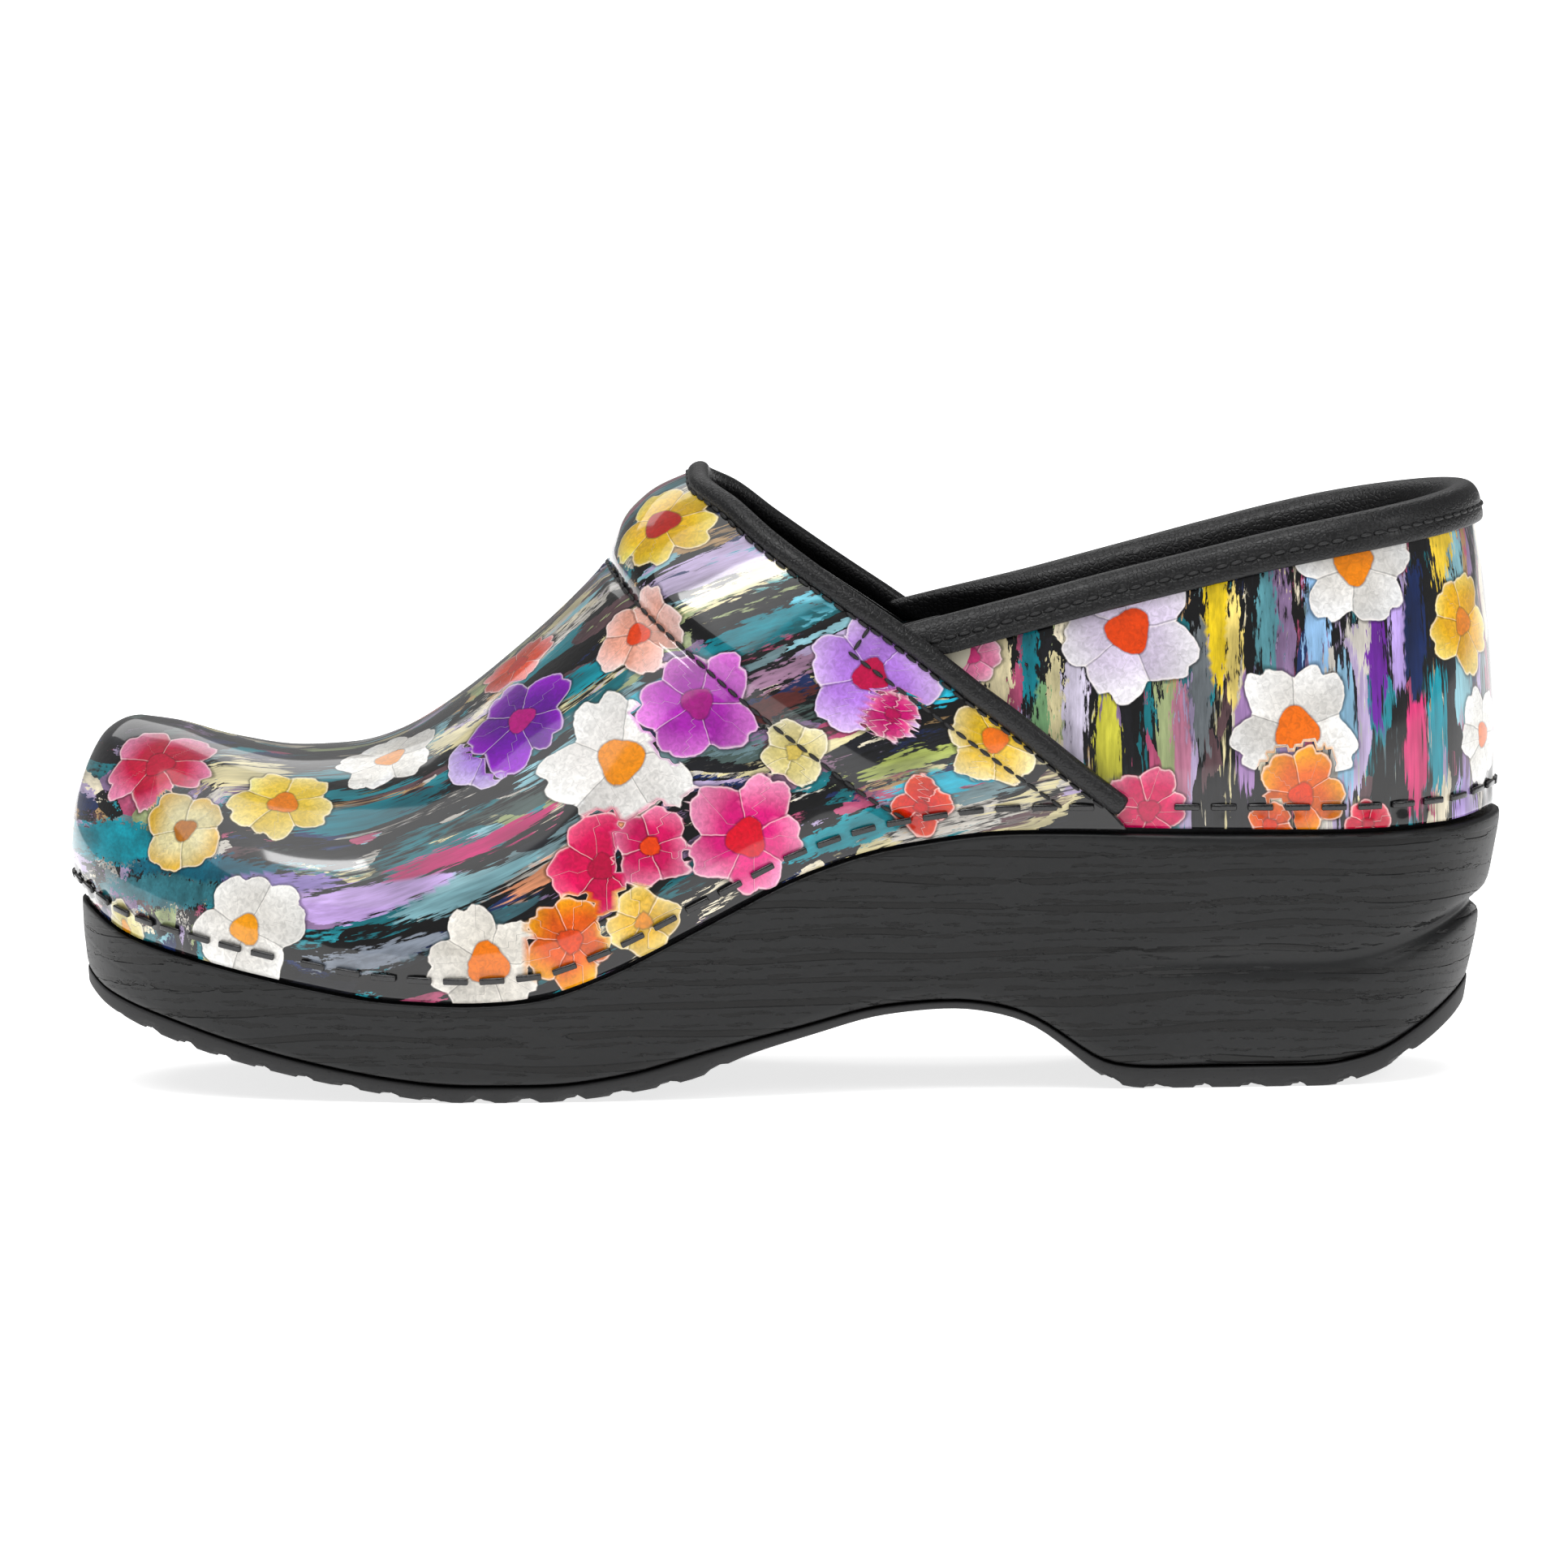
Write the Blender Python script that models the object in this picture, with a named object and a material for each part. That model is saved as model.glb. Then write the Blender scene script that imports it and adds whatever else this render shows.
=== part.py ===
"""A closed-back stapled clog for the left foot, as an assembly of separate solids.

Metres, +Z up. The toe points along -X, the heel along +X and the outer side of the foot is -Y. The sole
stands on Z = 0. Every layer of the upper is an offset of one base surface, which base_point() gives: p runs
from the toe tip (0) to the back of the heel (1), and s from the outer edge of the sole (-1) over the ridge
of the shoe (0) to the inner edge (1).
"""

import math

import bmesh
import bpy
from mathutils import Vector

# Length and the two ends of the sole.
SOLE_TOE_X = -0.1288
SOLE_HEEL_X = 0.1310
TOE_ROUND = 0.046
HEEL_ROUND = 0.036
TOE_POWER = 2.3
HEEL_POWER = 2.1

# Plan of the sole's top edge: half its width, and where its middle runs.
HALF_WIDTH = ((-0.131, 0.0385), (-0.090, 0.0450), (-0.052, 0.0490), (-0.020, 0.0455), (0.020, 0.0375),
              (0.060, 0.0350), (0.095, 0.0350), (0.131, 0.0345))
MIDDLE_Y = ((-0.131, 0.0072), (-0.100, 0.0048), (-0.045, -0.0008), (0.000, -0.0032), (0.050, -0.0017),
            (0.131, -0.0002))

# Heights along the shoe: the sole's top edge, the joint between block and tread, and the tread's underside.
SOLE_TOP = ((-0.129, 0.0345), (-0.120, 0.0288), (-0.108, 0.0254), (-0.090, 0.0214), (-0.072, 0.0184),
            (-0.058, 0.0178), (-0.046, 0.0186), (-0.034, 0.0224), (-0.014, 0.0321), (0.004, 0.0406),
            (0.020, 0.0450), (0.042, 0.0472), (0.075, 0.0465), (0.105, 0.0462), (0.122, 0.0467), (0.131, 0.0482))
TREAD_TOP = ((-0.129, 0.0225), (-0.124, 0.0183), (-0.111, 0.0137), (-0.098, 0.0098), (-0.085, 0.0066),
             (-0.072, 0.0042), (-0.060, 0.0030), (-0.044, 0.0030), (-0.030, 0.0046), (-0.014, 0.0088),
             (0.004, 0.0130), (0.017, 0.0160), (0.030, 0.0168), (0.042, 0.0148), (0.050, 0.0102),
             (0.058, 0.0048), (0.066, 0.0038), (0.096, 0.0038), (0.106, 0.0054), (0.115, 0.0100),
             (0.121, 0.0144), (0.125, 0.0180))
TREAD_BOTTOM = ((-0.129, 0.0201), (-0.124, 0.0155), (-0.112, 0.0104), (-0.098, 0.0064), (-0.080, 0.0026),
                (-0.069, 0.0008), (-0.062, 0.0), (-0.044, 0.0), (-0.034, 0.0008), (-0.016, 0.0040),
                (-0.009, 0.0073), (0.005, 0.0113), (0.018, 0.0145), (0.030, 0.0153), (0.042, 0.0132),
                (0.050, 0.0082), (0.058, 0.0016), (0.063, 0.0), (0.098, 0.0), (0.106, 0.0018), (0.114, 0.0056),
                (0.121, 0.0104), (0.125, 0.0142))

# The outer wall of the block, from its top edge down: share of the height, and how far it draws in at the
# sides, at the toe and at the heel, where it has a shallow groove.
BLOCK_WALL = ((0.0, 0.0, 0.0, 0.0), (0.30, 0.0006, 0.0001, 0.0016), (0.51, 0.0010, 0.0002, 0.0036),
              (0.58, 0.0014, 0.0003, 0.0052), (0.68, 0.0012, 0.0004, 0.0045), (1.0, 0.0022, 0.0008, 0.0064))
TREAD_WALL = ((0.0022, 0.0008, 0.0064), (0.0026, 0.0012, 0.0072))

GAP = 0.0003
FIT_GAP = 0.0005
LEDGE = 0.0059
RECESS_DEPTH = 0.0060
FRAME_RIM_HEIGHT = 0.0070
FRAME_RIM = 0.0025
FRAME_FLOOR = 0.0017
FOOTBED_TOP = 0.0046
SOCK_THICKNESS = 0.0015
ARCH_RISE = 0.0050
ARCH_X = 0.020
ARCH_LENGTH = 0.032
ARCH_WIDTH = 0.030
HEEL_CUP_RISE = 0.0018
HEEL_CUP_CENTRE_X = 0.092
HEEL_CUP_START_X = 0.050
HEEL_CUP_LENGTH = 0.040
HEEL_CUP_FLAT = 0.010
HEEL_CUP_WIDTH = 0.020

# The upper's base surface: the ridge line over the foot, where the side rays meet it, and the fullness of
# the cross-sections.
RIDGE_Z = ((-0.117, 0.0673), (-0.110, 0.0662), (-0.100, 0.0633), (-0.088, 0.0614), (-0.078, 0.0619),
           (-0.070, 0.0642), (-0.060, 0.0701), (-0.050, 0.0779), (-0.040, 0.0866), (-0.034, 0.0926),
           (-0.027, 0.1010), (-0.022, 0.1057), (-0.015, 0.1088), (0.000, 0.1150), (0.040, 0.1240),
           (0.080, 0.1330), (0.101, 0.1360))
RIDGE_TOE_X = -0.117
RIDGE_HEEL_X = 0.101
TOE_FAN_X = -0.090
HEEL_FAN_X = 0.080
RIDGE_Y = ((-0.117, 0.0058), (-0.050, 0.0018), (0.000, 0.0003), (0.131, -0.0002))
FULLNESS = ((-0.129, 2.30), (-0.060, 2.10), (-0.020, 1.98), (0.010, 1.85), (0.045, 1.80), (0.080, 2.20),
            (0.105, 2.60), (0.131, 2.70))
FEATHER_INSET = ((-0.129, 0.0009), (0.058, 0.0007), (0.078, -0.0006), (0.131, -0.0008))
BELLY = ((-0.129, 0.0034), (-0.095, 0.0028), (-0.050, 0.0020), (0.000, 0.0018), (0.045, 0.0012),
         (0.095, 0.0006), (0.131, 0.0003))
BELLY_HEIGHT = 0.012
INNER_RISE = 0.010
INNER_RISE_WIDTH = 0.030

# Seams and edges of the base surface in the side view, as height over the station along the shoe.
BINDING_Z = ((-0.0148, 0.1078), (-0.0142, 0.1070), (-0.0128, 0.1061), (-0.0098, 0.1044), (-0.0029, 0.0987),
             (0.0042, 0.0935), (0.0115, 0.0885), (0.0190, 0.0835), (0.0263, 0.0782), (0.0337, 0.0725),
             (0.0412, 0.0670), (0.0487, 0.0610), (0.0562, 0.0550), (0.0629, 0.0500))
INSTEP_SEAM = ((0.0495, 0.0235), (0.0528, 0.0177), (0.0571, 0.0116), (0.0631, 0.0042), (0.0689, -0.0032),
               (0.0737, -0.0090), (0.0816, -0.0179), (0.0880, -0.0252), (0.0950, -0.0322))
COLLAR_Z = ((0.010, 0.0826), (0.0297, 0.0878), (0.0473, 0.0922), (0.0645, 0.0964), (0.083, 0.1007),
            (0.1036, 0.1046), (0.120, 0.1070), (0.131, 0.1086))
QUARTER_FRONT_TOP = (0.0140, 0.0840)
QUARTER_FRONT_FOOT = (0.0530, 0.0480)
QUARTER_LOW_Z = 0.0465
QUARTER_HIGH_Z = 0.0810
QUARTER_SEAM = ((0.0130, 0.0815), (0.0114, 0.0794), (0.0480, 0.0529))
QUARTER_SEAM_STEPS = 10

# Leather, linings and stiffeners: depth below the base surface of each layer's outer face, and thickness.
LEATHER = 0.0016
LINING = 0.0012
STIFFENER = 0.0012
QUARTER_DEPTH = LEATHER + GAP
PAD_RISE = 0.0026
PAD_EASE = 0.006
PAD_FOOT_HEIGHT = 0.030
TOE_PUFF_END_X = -0.088
TOE_PUFF_EASE = 0.008
COUNTER_FRONT_X = 0.086
COUNTER_HEIGHT = 0.034
COUNTER_CLEARANCE = 0.001
COUNTER_FRONT_EASE = (0.010, 0.008)
COUNTER_TOP_EASE = 0.006
COLLAR_COVER = 0.0046
LINING_COVER = 0.0152
LINING_SETBACK = 0.0015
BINDING_RADIUS = 0.0019
BINDING_DEPTH = -0.00015
BINDING_SETBACK = (0.0015, 0.0020)
BINDING_FOOT = 0.0014
THROAT_CROWDING = 1.35
STITCH_SETBACK = 0.14
THREAD_RADIUS = 0.00032
THREAD_LIFT = 0.00045

# The collar band's and its foam's sections: depth below the base surface, and drop below the collar's top.
BAND_SECTION = ((0.0005, -0.0078), (0.0001, -0.0054), (0.0002, -0.0024), (0.0012, -0.0006), (0.0036, 0.0),
                (0.0058, -0.0008), (0.0072, -0.0030), (0.0079, -0.0080), (0.0081, -0.0160),
                (0.0071, -0.0160), (0.0068, -0.0080), (0.0061, -0.0036), (0.0050, -0.0020),
                (0.0036, -0.0012), (0.0020, -0.0016), (0.0015, -0.0026), (0.0013, -0.0050),
                (0.0016, -0.0078))
FOAM_SECTION = ((0.0039, -0.0130), (0.0039, -0.0042), (0.0023, -0.0040), (0.0025, -0.0028),
                (0.0036, -0.0018), (0.0048, -0.0026), (0.0056, -0.0042), (0.0063, -0.0080),
                (0.0065, -0.0130))
BAND_CLEARANCE = 0.0036
BAND_FRONT_X = 0.022
BAND_SLANT_DROP = 0.0080
COLLAR_STITCH_DROP = 0.0050
COLLAR_STITCH_CLEARANCE = 0.0046

# Staples, in rows round the margin of the upper.
STAPLE_PITCH = 0.0067
STAPLE_LENGTH = 0.0046
STAPLE_WIDTH = 0.0011
STAPLE_THICKNESS = 0.0006
STAPLE_RAIL = 0.00025
STAPLE_HEIGHT = 0.0042
STAPLE_LIFT = 0.0003
STAPLE_BREAKS = (-0.090, 0.056, 0.072)

# How finely the surfaces are divided: columns of the vamp up to where they start to fan, to the instep
# seam and to the back, and the ranges of them that the toe puff and the instep pad take.
FAN_X = -0.060
FAN_COLUMN = 14
SEAM_COLUMN = 20
BACK_COLUMN = 25
VAMP_ROWS = 8
PUFF_COLUMN = 10
PAD_FRONT_COLUMN = 22
PAD_BACK_COLUMN = 24
PAD_LOW_ROW = 4
LINING_CLEARANCE = 0.0014
COLUMN_GUESS = (0.040, 0.095)
COLUMN_TURNS = 12
EDGE_TURNS = 30
STEPS = 36
SPLIT = 1e-6
NORMAL_STEP = 1e-4
CORE_END_X = 0.095
CORE_LIFT = 0.012

PRINTED_LEATHER = ((0.42, 0.30, 0.36), 0.18, 0.0)
BLACK_LEATHER = ((0.020, 0.020, 0.022), 0.42, 0.0)
MOULDED_SOLE = ((0.035, 0.035, 0.037), 0.50, 0.0)
TREAD_RUBBER = ((0.022, 0.022, 0.023), 0.62, 0.0)
FRAME_PLASTIC = ((0.05, 0.05, 0.055), 0.55, 0.0)
CORK = ((0.45, 0.30, 0.17), 0.90, 0.0)
STIFF_BOARD = ((0.50, 0.45, 0.36), 0.85, 0.0)
FOAM = ((0.62, 0.60, 0.52), 0.95, 0.0)
THREAD = ((0.010, 0.010, 0.011), 0.60, 0.0)
LACQUERED_STEEL = ((0.012, 0.012, 0.013), 0.35, 0.6)


def curve_value(points, x):
    """The value at x of a smooth curve through the points, level past its ends."""
    if x <= points[0][0]:
        return points[0][1]
    if x >= points[-1][0]:
        return points[-1][1]
    k = next(i for i in range(len(points) - 1) if points[i + 1][0] >= x)
    (x0, y0), (x1, y1) = points[k], points[k + 1]
    width = x1 - x0
    u = (x - x0) / width
    start = slope_at(points, k) * width
    end = slope_at(points, k + 1) * width
    return ((2 * u ** 3 - 3 * u ** 2 + 1) * y0 + (u ** 3 - 2 * u ** 2 + u) * start
            + (3 * u ** 2 - 2 * u ** 3) * y1 + (u ** 3 - u ** 2) * end)


def slope_at(points, k):
    """The curve's slope at point k: the harmonic mean of the slopes beside it, so it never overshoots."""
    if k == 0:
        return (points[1][1] - points[0][1]) / (points[1][0] - points[0][0])
    if k == len(points) - 1:
        return (points[k][1] - points[k - 1][1]) / (points[k][0] - points[k - 1][0])
    before = (points[k][1] - points[k - 1][1]) / (points[k][0] - points[k - 1][0])
    after = (points[k + 1][1] - points[k][1]) / (points[k + 1][0] - points[k][0])
    if before * after <= 0.0:
        return 0.0
    return 2.0 * before * after / (before + after)


def ease(value):
    """0 below 0, 1 above 1, and a smooth step between."""
    u = min(max(value, 0.0), 1.0)
    return u * u * (3.0 - 2.0 * u)


def rounding(distance, length, power):
    """How much of the full width is left at a distance from a rounded end."""
    if distance >= length:
        return 1.0
    share = 1.0 - max(distance, 0.0) / length
    return (1.0 - share ** power) ** (1.0 / power)


def station_x(p, toe_inset, heel_inset):
    """Where station p lies along the shoe, close together at both ends."""
    toe = SOLE_TOE_X + toe_inset
    heel = SOLE_HEEL_X - heel_inset
    return toe + (heel - toe) * (1.0 - math.cos(math.pi * p)) / 2.0


def station_of(x, toe_inset=0.0, heel_inset=0.0):
    """The station that lies at x."""
    toe = SOLE_TOE_X + toe_inset
    heel = SOLE_HEEL_X - heel_inset
    return math.acos(1.0 - 2.0 * (x - toe) / (heel - toe)) / math.pi


def plan_point(p, side, side_inset, toe_inset, heel_inset):
    """A point of the sole's outline, drawn in by the insets. side is -1 (outer) to 1 (inner)."""
    x = station_x(p, toe_inset, heel_inset)
    width = curve_value(HALF_WIDTH, x) - side_inset
    width *= rounding(x - SOLE_TOE_X - toe_inset, TOE_ROUND - toe_inset, TOE_POWER)
    width *= rounding(SOLE_HEEL_X - heel_inset - x, HEEL_ROUND - heel_inset, HEEL_POWER)
    if p < SPLIT or p > 1.0 - SPLIT:
        width = 0.0
    return x, curve_value(MIDDLE_Y, x) + side * width


def base_point(p, s):
    """The base surface of the upper, before the instep's padding."""
    side = -1.0 if s < 0.0 else 1.0
    x_guess = station_x(p, 0.0, 0.0)
    inset = curve_value(FEATHER_INSET, x_guess)
    toe_inset = curve_value(FEATHER_INSET, SOLE_TOE_X)
    heel_inset = curve_value(FEATHER_INSET, SOLE_HEEL_X)
    foot_x, foot_y = plan_point(p, side, inset, toe_inset, heel_inset)
    foot_z = curve_value(SOLE_TOP, foot_x) + FIT_GAP
    top_x = ridge_x(foot_x)
    top_y = curve_value(RIDGE_Y, top_x)
    top_z = curve_value(RIDGE_Z, top_x)
    power = 2.0 / curve_value(FULLNESS, foot_x)
    angle = (1.0 - abs(s)) * math.pi / 2.0
    out = max(math.cos(angle), 0.0) ** power
    up = math.sin(angle) ** power
    height = (top_z - foot_z) * up
    away = Vector((foot_x - top_x, foot_y - top_y))
    belly = curve_value(BELLY, foot_x) * height / BELLY_HEIGHT * math.exp(1.0 - height / BELLY_HEIGHT)
    spread = away * out + away.normalized() * belly * min(1.0, out * 2.0)
    rise = 1.0 + INNER_RISE * ease(spread.y / INNER_RISE_WIDTH)
    return Vector((top_x + spread.x, top_y + spread.y, foot_z + height * rise))


def ridge_x(foot_x):
    """Where the ray from the sole's edge at foot_x meets the ridge: rays fan in at the toe and the heel."""
    toe_edge = SOLE_TOE_X + curve_value(FEATHER_INSET, SOLE_TOE_X)
    heel_edge = SOLE_HEEL_X - curve_value(FEATHER_INSET, SOLE_HEEL_X)
    if foot_x < TOE_FAN_X:
        return TOE_FAN_X + (foot_x - TOE_FAN_X) * (RIDGE_TOE_X - TOE_FAN_X) / (toe_edge - TOE_FAN_X)
    if foot_x > HEEL_FAN_X:
        return HEEL_FAN_X + (foot_x - HEEL_FAN_X) * (RIDGE_HEEL_X - HEEL_FAN_X) / (heel_edge - HEEL_FAN_X)
    return foot_x


def base_normal(p, s):
    """The base surface's outward unit normal."""
    before = base_point(max(p - NORMAL_STEP, 0.0), s)
    after = base_point(min(p + NORMAL_STEP, 1.0), s)
    along = after - before
    if abs(s) <= NORMAL_STEP:
        along.y = 0.0
        normal = along.cross(Vector((0.0, -1.0, 0.0)))
        return normal.normalized() if normal.z > 0.0 else -normal.normalized()
    reach = min(NORMAL_STEP, 1.0 - abs(s)) or NORMAL_STEP
    low = min(abs(s) + reach, 1.0) * math.copysign(1.0, s)
    high = (abs(s) - reach) * math.copysign(1.0, s)
    across = base_point(p, high) - base_point(p, low)
    normal = along.cross(across)
    if p < SPLIT or p > 1.0 - SPLIT:
        normal.y = 0.0
    point = base_point(p, s)
    core = Vector((min(max(point.x, -CORE_END_X), CORE_END_X), curve_value(MIDDLE_Y, point.x), 0.0))
    core.z = curve_value(SOLE_TOP, core.x) + CORE_LIFT
    normal.normalize()
    return normal if normal.dot(point - core) > 0.0 else -normal


def pad_rise(point):
    """How far the instep's padding lifts the leather at a point of the base surface."""
    seam = curve_value(INSTEP_SEAM, point.z)
    lift = ease((point.x - seam) / PAD_EASE)
    height = point.z - curve_value(SOLE_TOP, point.x)
    return PAD_RISE * lift * ease(height / PAD_FOOT_HEIGHT)


def skin(p, s, depth):
    """A point at a depth below the base surface."""
    return base_point(p, s) - base_normal(p, s) * depth


def leather_skin(p, s, depth):
    """A point at a depth below the vamp's outer face, padding included."""
    return skin(p, s, depth - pad_rise(base_point(p, s)))


def share_at(p, side, z):
    """The s at which the base surface reaches height z on one side of station p."""
    foot_z = base_point(p, side).z
    top_z = base_point(p, 0.0).z
    up = min(max((z - foot_z) / (top_z - foot_z), 0.0), 1.0)
    power = 2.0 / curve_value(FULLNESS, station_x(p, 0.0, 0.0))
    return side * (1.0 - math.asin(up ** (1.0 / power)) * 2.0 / math.pi)


def quarter_front_x(z):
    """Where the quarter's hidden front edge lies at height z."""
    (top_x, top_z), (foot_x, foot_z) = QUARTER_FRONT_TOP, QUARTER_FRONT_FOOT
    return foot_x + (z - foot_z) * (top_x - foot_x) / (top_z - foot_z)


def add_sheet(bm, columns, rows, place):
    """Adds a grid of quads whose vertex (i, j) goes to place(i, j), and returns its vertices by (i, j)."""
    made = bmesh.ops.create_grid(bm, x_segments=columns, y_segments=rows, size=1.0)
    found = {}
    for vert in made["verts"]:
        i = round((vert.co.x + 1.0) / 2.0 * columns)
        j = round((vert.co.y + 1.0) / 2.0 * rows)
        found[i, j] = vert
    for (i, j), vert in found.items():
        vert.co = place(i, j)
    return found


def make_material(name, look):
    """A plain Principled material from (colour, roughness, metallic)."""
    colour, roughness, metallic = look
    material = bpy.data.materials.new(name)
    material.use_nodes = True
    shader = material.node_tree.nodes["Principled BSDF"]
    shader.inputs["Base Color"].default_value = (*colour, 1.0)
    shader.inputs["Roughness"].default_value = roughness
    shader.inputs["Metallic"].default_value = metallic
    material.diffuse_color = (*colour, 1.0)
    return material


def finish_mesh(bm, name, look, collection):
    """Zips the sheets of a closed mesh together and links it as a named object."""
    bmesh.ops.remove_doubles(bm, verts=bm.verts[:], dist=SPLIT)
    bmesh.ops.dissolve_degenerate(bm, edges=bm.edges[:], dist=SPLIT)
    bmesh.ops.recalc_face_normals(bm, faces=bm.faces[:])
    if bm.calc_volume(signed=True) < 0.0:
        bmesh.ops.reverse_faces(bm, faces=bm.faces[:])
    mesh = bpy.data.meshes.new(name)
    bm.to_mesh(mesh)
    bm.free()
    mesh.shade_smooth()
    mesh.materials.append(make_material(name, look))
    obj = bpy.data.objects.new(name, mesh)
    collection.objects.link(obj)
    return obj


def shell(name, look, collection, columns, rows, locate, outer, inner):
    """A closed shell: a zipped sheet at one depth, extruded to a second. locate(i, j) gives (p, s)."""
    bm = bmesh.new()
    tag = bm.verts.layers.int.new("place")
    spots = {}

    def place(i, j):
        p, s = locate(i, j)
        spots[i, j] = (p, s)
        return outer(p, s)

    for (i, j), vert in add_sheet(bm, columns, rows, place).items():
        vert[tag] = i * (rows + 1) + j
    bmesh.ops.remove_doubles(bm, verts=bm.verts[:], dist=SPLIT)
    made = bmesh.ops.extrude_face_region(bm, geom=bm.faces[:], use_keep_orig=True)
    for item in made["geom"]:
        if isinstance(item, bmesh.types.BMVert):
            p, s = spots[divmod(item[tag], rows + 1)]
            item.co = inner(p, s)
    return finish_mesh(bm, name, look, collection)


def loft(name, look, collection, rings):
    """A solid through closed rings of the sole's plan: each ring is (side, toe and heel inset, height at x)."""
    bm = bmesh.new()
    count = 2 * STEPS

    def ring_point(ring, k):
        insets, height = ring
        side = -1.0 if k % count <= STEPS else 1.0
        step = k % count if side < 0.0 else count - k % count
        x, y = plan_point(step / STEPS, side, *insets)
        return Vector((x, y, height(x)))

    add_sheet(bm, count, len(rings) - 1, lambda i, j: ring_point(rings[j], i))
    for ring in (rings[0], rings[-1]):
        add_sheet(bm, STEPS, 1, lambda i, j, ring=ring: ring_point(ring, i if j == 0 else count - i))
    return finish_mesh(bm, name, look, collection)


def around(k, count, start_p):
    """Station and side of step k on a way round the heel, from the outer side's start to the inner's."""
    half = count // 2
    if k <= half:
        return start_p + (1.0 - start_p) * k / half, -1.0
    return start_p + (1.0 - start_p) * (count - k) / half, 1.0


def sweep(name, look, collection, count, section, place):
    """A closed section carried through count steps, with both ends capped. place(k, depth, drop) is a point."""
    bm = bmesh.new()
    sides = len(section)
    found = add_sheet(bm, count, sides, lambda i, j: place(i, *section[j % sides]))
    for end in (0, count):
        bm.faces.new([found[end, j] for j in range(sides)])
    return finish_mesh(bm, name, look, collection)


def wire(name, look, collection, points, radius, resolution):
    """A round cord through the points."""
    curve = bpy.data.curves.new(name, "CURVE")
    curve.dimensions = "3D"
    curve.bevel_depth = radius
    curve.bevel_resolution = resolution
    curve.use_fill_caps = True
    spline = curve.splines.new("POLY")
    spline.points.add(len(points) - 1)
    for target, point in zip(spline.points, points):
        target.co = (*point, 1.0)
    curve.materials.append(make_material(name, look))
    obj = bpy.data.objects.new(name, curve)
    collection.objects.link(obj)
    return obj


def sole_top(drop):
    """The height of the sole's top edge, moved up by drop."""
    return lambda x: curve_value(SOLE_TOP, x) + drop


def make_sole_block(collection):
    """The moulded block: a tapering wall, a ledge for the upper's margin and a recess for the frame."""
    rings = []
    for share, side, toe, heel in BLOCK_WALL:
        rings.append(((side, toe, heel), wall_height(share)))
    rings.reverse()
    rings.append(((LEDGE, LEDGE, LEDGE), sole_top(0.0)))
    rings.append(((LEDGE, LEDGE, LEDGE), sole_top(-RECESS_DEPTH)))
    return loft("sole_block", MOULDED_SOLE, collection, rings)


def wall_height(share):
    """Height of the block's wall at a share of the way from its top edge to the tread."""
    return lambda x: (curve_value(SOLE_TOP, x) * (1.0 - share) + (curve_value(TREAD_TOP, x) + GAP) * share)


def make_outsole(collection):
    """The tread glued under the block, flat where it meets the floor."""
    top, bottom = TREAD_WALL
    rings = [(bottom, lambda x: curve_value(TREAD_BOTTOM, x)), (top, lambda x: curve_value(TREAD_TOP, x))]
    return loft("outsole", TREAD_RUBBER, collection, rings)


def make_inner_frame(collection):
    """The moulded tray that the staples bite into: its rim stands inside the upper's margin."""
    outer = LEDGE + GAP
    inner = outer + FRAME_RIM
    floor = -RECESS_DEPTH + GAP
    rings = [((outer,) * 3, sole_top(floor)), ((outer,) * 3, sole_top(FRAME_RIM_HEIGHT)),
             ((inner,) * 3, sole_top(FRAME_RIM_HEIGHT)), ((inner,) * 3, sole_top(floor + FRAME_FLOOR))]
    return loft("inner_frame", FRAME_PLASTIC, collection, rings)


def contour(x, y):
    """Extra height of the footbed: it rises under the arch, on the inner side, and round the heel."""
    arch = math.exp(-((x - ARCH_X) / ARCH_LENGTH) ** 2) * ease(y / ARCH_WIDTH) * ARCH_RISE
    radius = math.hypot(x - HEEL_CUP_CENTRE_X, y)
    heel = ease((x - HEEL_CUP_START_X) / HEEL_CUP_LENGTH) * HEEL_CUP_RISE
    heel *= ease((radius - HEEL_CUP_FLAT) / HEEL_CUP_WIDTH)
    return arch + heel


def make_bed(name, look, collection, low, high):
    """A contoured plate inside the frame's rim, between two heights over the sole's top edge."""
    inset = LEDGE + GAP + FRAME_RIM + FIT_GAP
    across_steps = 6
    bm = bmesh.new()

    def point(i, across, height, lift):
        x, y = plan_point(i / STEPS, across, inset, inset, inset)
        return Vector((x, y, curve_value(SOLE_TOP, x) + height + lift * contour(x, y)))

    def across_of(j):
        return 2.0 * j / across_steps - 1.0

    add_sheet(bm, STEPS, across_steps, lambda i, j: point(i, across_of(j), high, 1.0))
    add_sheet(bm, STEPS, across_steps, lambda i, j: point(i, across_of(j), low, 1.0 if low > 0.0 else 0.0))
    for side in (-1.0, 1.0):
        add_sheet(bm, STEPS, 1, lambda i, j, side=side:
                  point(i, side, (low, high)[j], 1.0 if j or low > 0.0 else 0.0))
    return finish_mesh(bm, name, look, collection)


def seam_x(z):
    """Where the instep seam lies at height z."""
    return curve_value(INSTEP_SEAM, z)


def vamp_back_x(z):
    """Where the vamp's cut edge lies at height z, just short of the throat binding."""
    return edge_x(z + BINDING_SETBACK[1]) - BINDING_SETBACK[0]


def lining_back_x(z):
    """Where the vamp lining ends at height z: at the throat, or ahead of the quarter's hidden front edge."""
    return min(vamp_back_x(z), quarter_front_x(z) - LINING_CLEARANCE)


def column_x(column, z, back_x):
    """The station's x on a column at height z: upright at the toe, then fanning to the seam and the back."""
    if column <= FAN_COLUMN:
        return FAN_X
    if column <= SEAM_COLUMN:
        share = (column - FAN_COLUMN) / (SEAM_COLUMN - FAN_COLUMN)
        return FAN_X + (seam_x(z) - FAN_X) * share
    share = (column - SEAM_COLUMN) / (BACK_COLUMN - SEAM_COLUMN)
    return seam_x(z) + (back_x(z) - seam_x(z)) * share


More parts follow.
